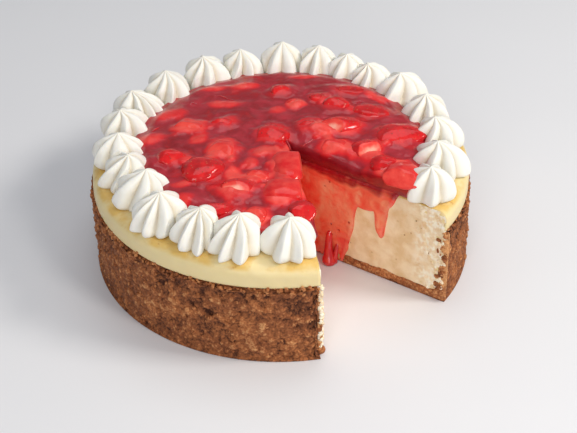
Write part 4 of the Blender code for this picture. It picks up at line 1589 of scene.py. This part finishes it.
    def run_down(self, name: str, cut: Cut, runs: tuple[tuple[float, float, float], ...],
                 material: bpy.types.Material) -> None:
        """The thin coat on a cut face.

        Each run is half an ellipse hanging from the filling's top: place and half width along the
        face, and length. The coat's depth rises as a quarter circle with the distance to the nearest
        point of its edge.

        Args:
            name: name of the piece.
            cut: the face.
            runs: distance from the apex, half width and length of each run.
            material: the finish.
        """
        columns, rows, back = 210, 90, -0.0010
        tip_far, tip_height, foot_far = runs[-1][0], 0.0345, 0.036
        far = np.linspace(0.0, max(place + half for place, half, _ in runs) + 0.001, columns)
        lengths = [length * np.sqrt(np.clip(1 - ((far - place) / half) ** 2, 0, 1))
                   for place, half, length in runs]
        wobble = 1 + 0.05 * Lattice(0.007, 95).wave(cut.place(far, 0.0, 0.0))
        edge = np.maximum(self.low - np.max(lengths, axis=0) * wobble, 0.0004)
        soft = np.convolve(np.pad(edge, 2, mode="edge"), np.ones(5) / 5, mode="valid")
        share = np.linspace(0, 1, rows)[None, :]
        ceiling = self.low + 0.004
        height = soft[:, None] + (ceiling - soft)[:, None] * share ** 1.3
        apart = np.hypot(far[:, None, None] - far, height[..., None] - soft).min(axis=-1)
        wiggle = 0.0012 * Lattice(0.0060, 96).fractal(cut.place(0.0, height, 0.0), 2)
        bent = far[:, None] + wiggle * eased(far, 0.002, 0.010)[:, None]
        flat = cut.place(bent, height, 0.0)
        bead = np.clip(apart / 0.0022, 0, 1)
        ripple = Lattice(0.008, 97).fractal(flat * np.array([1.0, 1.0, 0.45]), 3)
        round_edge = np.sqrt(bead * (2 - bead))
        depth = (0.0006 + 0.0004 * ripple) * round_edge + 0.0004 * np.exp(-(apart / 0.003) ** 2)
        near_corner = np.exp(-(far / 0.016) ** 2)[:, None]
        tip = np.exp(-((far[:, None] - tip_far) / 0.004) ** 2 - ((height - tip_height) / 0.006) ** 2)
        upper = np.exp(-((height - self.low) / 0.0045) ** 2)
        depth = depth + (0.0016 * near_corner + 0.0013 * tip + 0.0009 * upper) * round_edge
        relief = 0.0003 + 0.00030 * Lattice(0.009, 61).fractal(flat, 3)
        tucked = 1 - 0.95 * eased(height, self.low - 0.0008, ceiling - 0.0012)
        front = cut.place(bent, height, (relief + depth) * tucked - 0.0004 * (1 - bead))
        form = pad(name, front, cut.place(bent, height, back))
        points = form.points
        along, rise = cut.along(points), points[:, 2]
        streak = Lattice(0.0100, 101).fractal(points * np.array([1.0, 1.0, 0.38]), 2)
        thick = 0.30 + 0.14 * Lattice(0.010, 99).fractal(points, 2) - 0.36 * eased(streak, -0.1, 0.5)
        thick -= 0.26 * np.exp(-((along - foot_far) / 0.009) ** 2 - ((rise - 0.042) / 0.018) ** 2)
        edge_line = 0.0590 + 0.0035 * Lattice(0.013, 98).fractal(points, 2)
        thick += 0.45 * np.exp(-(along / 0.013) ** 2) + 0.8 * eased(rise - edge_line, -0.0035, 0.0030)
        thick += 0.4 * np.exp(-((along - foot_far) / 0.008) ** 2 - (rise / 0.012) ** 2)
        form.paint("thick", thick)
        form.finish(material, "sauce")

    def drip(self, name: str, path: Array, widths: Array, material: bpy.types.Material) -> None:
        """A glossy drip: a circle whose radius changes, carried down a path and closed at both ends.

        Args:
            name: name of the piece.
            path: points down the middle, shape (n, 3).
            widths: the circle's radius at each, shape (n,).
            material: the finish.
        """
        count, sides, lowest = 48, 28, 0.0003
        spine = smooth_path(np.column_stack([path, widths]), count)
        around = np.linspace(0, FULL_TURN, sides + 1)[None, :]
        radius = np.maximum(spine[:, 3:], 0.0)
        grid = np.stack([spine[:, :1] + radius * np.cos(around), spine[:, 1:2] + radius * np.sin(around),
                         spine[:, 2:3] * np.ones_like(around)], -1)
        grid[..., 2] = np.maximum(grid[..., 2], lowest)
        foot = np.broadcast_to(spine[-1:, None, :3], grid[-1:].shape) * [1, 1, 0] + grid[-1:] * [0, 0, 1]
        form = Form.of_patches(name, [np.concatenate([grid, foot])])
        form.paint("glow", self.drip_glow)
        form.paint("thick", self.drip_thick)
        form.finish(material, "sauce")

    def drips(self, material: bpy.types.Material) -> None:
        """The drips that stand out of the right cut's coat, near the corner."""
        for name, rows in DRIPS.items():
            far, height, out, widths = np.array(rows).T
            self.drip(name, RIGHT_CUT.place(far, height, out), widths, material)

    def pool(self, material: bpy.types.Material) -> None:
        """Sauce gathered in the corner between the cuts, from the layer down to a foot on the ground."""
        far, height, widths = np.array(POOL).T
        middle = (LEFT_CUT.azimuth + RIGHT_CUT.azimuth) / 2
        path = np.array([*RIGHT_CUT.apex, 0.0]) + far[:, None] * level(middle)
        path[:, 2] = height
        self.drip("sauce_corner", path, widths, material)

    def build(self) -> None:
        """Makes every piece of the sauce."""
        material = self.finish.build()
        stain = self.stain.build()
        self.layer(material)
        self.run_down("sauce_run_right", RIGHT_CUT, RIGHT_RUNS, stain)
        self.run_down("sauce_run_left", LEFT_CUT, LEFT_RUNS, stain)
        drops = self.drops.build()
        self.drips(drops)
        self.pool(drops)
        self.folds(drops)


# The cream stars

@dataclass(frozen=True)
class Star:
    """One star: its azimuth in degrees, the radius that its tip leans to, its height and its width."""

    azimuth: float
    tip: float
    height: float
    width: float

    @property
    def outward(self) -> Array:
        """Level unit vector away from the cake's axis."""
        return level(math.radians(self.azimuth))


# Fields of Star in their order, from the left cut round the back to the right cut
STARS = tuple(Star(*row) for row in (
    (-88, 0.0912, 0.0205, 0.0300), (-105, 0.0923, 0.0215, 0.0300), (-119, 0.0935, 0.0210, 0.0290),
    (-134.5, 0.0963, 0.0215, 0.0300), (-150.5, 0.0880, 0.0200, 0.0300), (-164, 0.0912, 0.0200, 0.0280),
    (-177, 0.0958, 0.0205, 0.0290), (166, 0.0975, 0.0200, 0.0290), (153, 0.1000, 0.0200, 0.0290),
    (137, 0.0963, 0.0215, 0.0300), (119, 0.0969, 0.0215, 0.0300), (105, 0.0958, 0.0210, 0.0280),
    (89, 0.0990, 0.0225, 0.0300), (75.5, 0.0990, 0.0215, 0.0280), (63.5, 0.0969, 0.0205, 0.0270),
    (52.5, 0.0935, 0.0200, 0.0270), (37.5, 0.0969, 0.0215, 0.0310), (19.5, 0.0958, 0.0210, 0.0290),
    (4.0, 0.0935, 0.0205, 0.0280), (-12.5, 0.0945, 0.0205, 0.0300), (-28.0, 0.0960, 0.0205, 0.0280),
))

# A star's side from its foot to its tip: share of the radius and of the height
STAR_SIDE = ((0.0, 0.0), (0.80, 0.0), (1.00, 0.06), (1.06, 0.22), (1.01, 0.42),
             (0.86, 0.62), (0.60, 0.79), (0.30, 0.90), (0.10, 0.965), (0.0, 1.0))


@dataclass
class CreamStars:
    """The ring of stars, piped through an open star nozzle."""

    low: float = 0.0633
    ring: float = 0.0945
    ridges: int = 7
    groove: float = 0.46
    stretch: float = 1.12
    lap: float = 0.0016
    pressed: float = 0.85
    twist: float = math.radians(22)
    curl: float = 0.0014
    around: int = 128
    rows: int = 44
    finish: CreamFinish = CreamFinish()

    def centre(self, star: Star) -> Array:
        """Middle of a star's base: between the ring and the radius of its tip."""
        return star.outward * (star.tip + self.ring) / 2

    def shape(self, index: int) -> tuple[Array, Array]:
        """A star as a grid of heading and rise.

        The side is a smooth curve from a rounded foot to a drawn-out tip. Its radius is cut back in the
        valleys between the ridges, where the sine of half the ridge angle passes zero; a power below one
        keeps the ridges broad and the valleys narrow. The heading turns a little with the rise.

        Args:
            index: which star.

        Returns:
            The grid, shape (around + 1, rows, 3), and how much each point is on a ridge.
        """
        star = STARS[index]
        side = smooth_path(np.array(STAR_SIDE), self.rows)
        share, rise = np.clip(side[:, 0], 0, None)[None, :], side[:, 1][None, :]
        share[0, 0] = share[0, -1] = 0.0
        heading = np.linspace(0, FULL_TURN, self.around + 1)[:, None]
        chance = np.random.default_rng(500 + index).uniform(-1, 1, 5)
        bent = heading + 0.20 * np.sin(heading + 3 * chance[0]) + 0.12 * np.sin(2 * heading + 3 * chance[1])
        half = (self.ridges + round(0.8 * chance[2])) * bent / 2
        lobe = 0.62 * np.abs(np.sin(half)) ** 0.75 + 0.38 * (1 - np.abs(np.cos(half)))
        lobe[-1] = lobe[0]
        own = Lattice(0.55, 300 + index).wave(level(heading))
        own[-1] = own[0]
        groove = self.groove * (0.60 + 0.40 * eased(rise, 0.05, 0.5)) * (1 + 0.4 * own)
        flare = 1 + own * (0.13 * (1 - rise) + 0.10 * np.exp(-(rise / 0.16) ** 2) * lobe)
        radius = star.width / 2 * share * (1 - groove * (1 - lobe)) * flare
        lean = star.outward * (star.tip - (star.tip + self.ring) / 2)
        turn = heading + self.twist * (1 + 0.8 * chance[3]) * rise ** 1.4 + index
        offset = level(turn) * radius[..., None]
        offset = offset + star.outward * ((offset @ star.outward) * (self.stretch - 1))[..., None]
        points = self.centre(star) + offset + lean * (rise ** 2)[..., None]
        points = points + level(9 * chance[4]) * self.curl * eased(rise, 0.80, 1.0)[..., None]
        points[..., 2] = self.low + star.height * rise
        for neighbour, side_sign in ((index - 1, -1), (index + 1, 1)):
            if 0 <= neighbour < len(STARS):
                points = self.held_back(points, star, STARS[neighbour], side_sign * self.lap)
        return points, lobe * np.ones_like(rise)

    def held_back(self, points: Array, star: Star, other: Star, lap: float) -> Array:
        """Presses a star flat where it would pass into its neighbour, at the plane midway by width.

        Args:
            points: the star's grid.
            star: the star.
            other: its neighbour.
            lap: how far past the plane the star may reach.

        Returns:
            The pressed grid.
        """
        apart = self.centre(other) - self.centre(star)
        distance = np.linalg.norm(apart)
        toward = apart / distance
        share = star.width / (star.width + other.width)
        excess = (points - self.centre(star)) @ toward - (distance * share + lap)
        return points - toward * (self.pressed * np.maximum(excess, 0.0))[..., None]

    def build(self) -> None:
        """Makes every star."""
        material = self.finish.build()
        for index in range(len(STARS)):
            points, ridge = self.shape(index)
            form = Form.of_patches(f"star_{index + 1:02d}", [points])
            # Ridge paint: the finish darkens the valleys with it as painted shade
            form.paint("ridge", welded_paint(points, ridge))
            form.swell(0.00022 * Lattice(0.0045, 400 + index).fractal(form.points, 2), self.low)
            form.finish(material, "cream", form.name)


# Camera, floor and light

@dataclass(frozen=True)
class Lamp:
    """A soft square light: where it stands, its side in metres, its power in watts and its colour."""

    name: str
    place: tuple[float, float, float]
    size: float
    power: float
    tint: Tint


@dataclass(frozen=True)
class Studio:
    """The photograph's camera, a pale floor and soft light."""

    place: tuple[float, float, float] = (0.0, -0.6864, 0.5092)
    right: tuple[float, float, float] = (0.9998, -0.0159, -0.0138)
    up: tuple[float, float, float] = (0.0205, 0.5816, 0.8132)
    forward: tuple[float, float, float] = (0.0049, 0.8133, -0.5818)
    aim: tuple[float, float, float] = (0.0, 0.0, 0.05)
    lens: float = 85.61
    sensor: float = 36.0
    half_floor: float = 3.0
    room: Tint = Tint(236, 240, 246)
    room_strength: float = 0.32
    finish: FloorFinish = FloorFinish()
    lamps: tuple[Lamp, ...] = (
        Lamp("key", (1.0, -0.20, 0.95), 0.34, 8.6, Tint(255, 250, 242)),
        Lamp("window", (0.70, -0.75, 1.0), 0.24, 4.2, Tint(255, 252, 246)),
        Lamp("top", (0.1, 0.45, 1.4), 0.9, 4.0, Tint(250, 252, 255)),
        Lamp("front", (-0.15, -1.15, 0.75), 0.6, 5.7, Tint(252, 250, 250)),
    )

    @staticmethod
    def stand(name: str, data: bpy.types.ID, side: Array, up: Array, back: Array,
              place: Array) -> bpy.types.Object:
        """Adds a camera or a light.

        Args:
            name: name of the object.
            data: what the object shows.
            side: its own +X.
            up: its own +Y.
            back: its own +Z, away from where it looks.
            place: where it stands.

        Returns:
            The object.
        """
        axes = np.eye(4)
        axes[:3] = np.column_stack([side, up, back, place])
        thing = bpy.data.objects.new(name, data)
        thing.matrix_world = Matrix(axes.tolist())
        bpy.context.scene.collection.objects.link(thing)
        return thing

    def camera(self) -> None:
        """Adds the camera."""
        data = bpy.data.cameras.new("camera")
        data.lens = self.lens
        data.sensor_width = self.sensor
        data.clip_start, data.clip_end = 0.01, 20.0
        back = -np.array(self.forward)
        bpy.context.scene.camera = self.stand("camera", data, self.right, self.up, back, self.place)

    def floor(self) -> None:
        """Adds the floor."""
        mesh = bpy.data.meshes.new("floor")
        corners = self.half_floor * np.array([[-1, -1, 0], [1, -1, 0], [1, 1, 0], [-1, 1, 0]])
        mesh.from_pydata(corners.tolist(), [], [(0, 1, 2, 3)])
        mesh.materials.append(self.finish.build())
        floor = bpy.data.objects.new("floor", mesh)
        bpy.context.scene.collection.objects.link(floor)

    def light(self, lamp: Lamp) -> None:
        """Adds a lamp that faces the cake."""
        data = bpy.data.lights.new(lamp.name, "AREA")
        data.size = lamp.size
        data.energy = lamp.power
        data.color = lamp.tint.linear[:3]
        back = unit(np.array(lamp.place) - np.array(self.aim))
        side = unit(np.cross([0.0, 0.0, 1.0], back))
        self.stand(lamp.name, data, side, np.cross(back, side), back, lamp.place)

    def build(self) -> None:
        """Adds everything that isn't the cake."""
        self.camera()
        self.floor()
        world = bpy.data.worlds.new("soft_room")
        world.use_nodes = True
        background = world.node_tree.nodes["Background"]
        background.inputs["Color"].default_value = self.room.linear
        background.inputs["Strength"].default_value = self.room_strength
        bpy.context.scene.world = world
        bpy.context.scene.view_settings.view_transform = "Standard"
        for lamp in self.lamps:
            self.light(lamp)


def main() -> None:
    """Builds the cake and its surroundings."""
    logging.basicConfig(level=logging.INFO, format="%(message)s")
    Studio().build()
    for part in (Crust(), Filling(), Sauce(), CreamStars(), Strawberries()):
        part.build()
        LOG.info("%s done", type(part).__name__)
    bpy.context.view_layer.update()


if __name__ == "__main__":
    main()
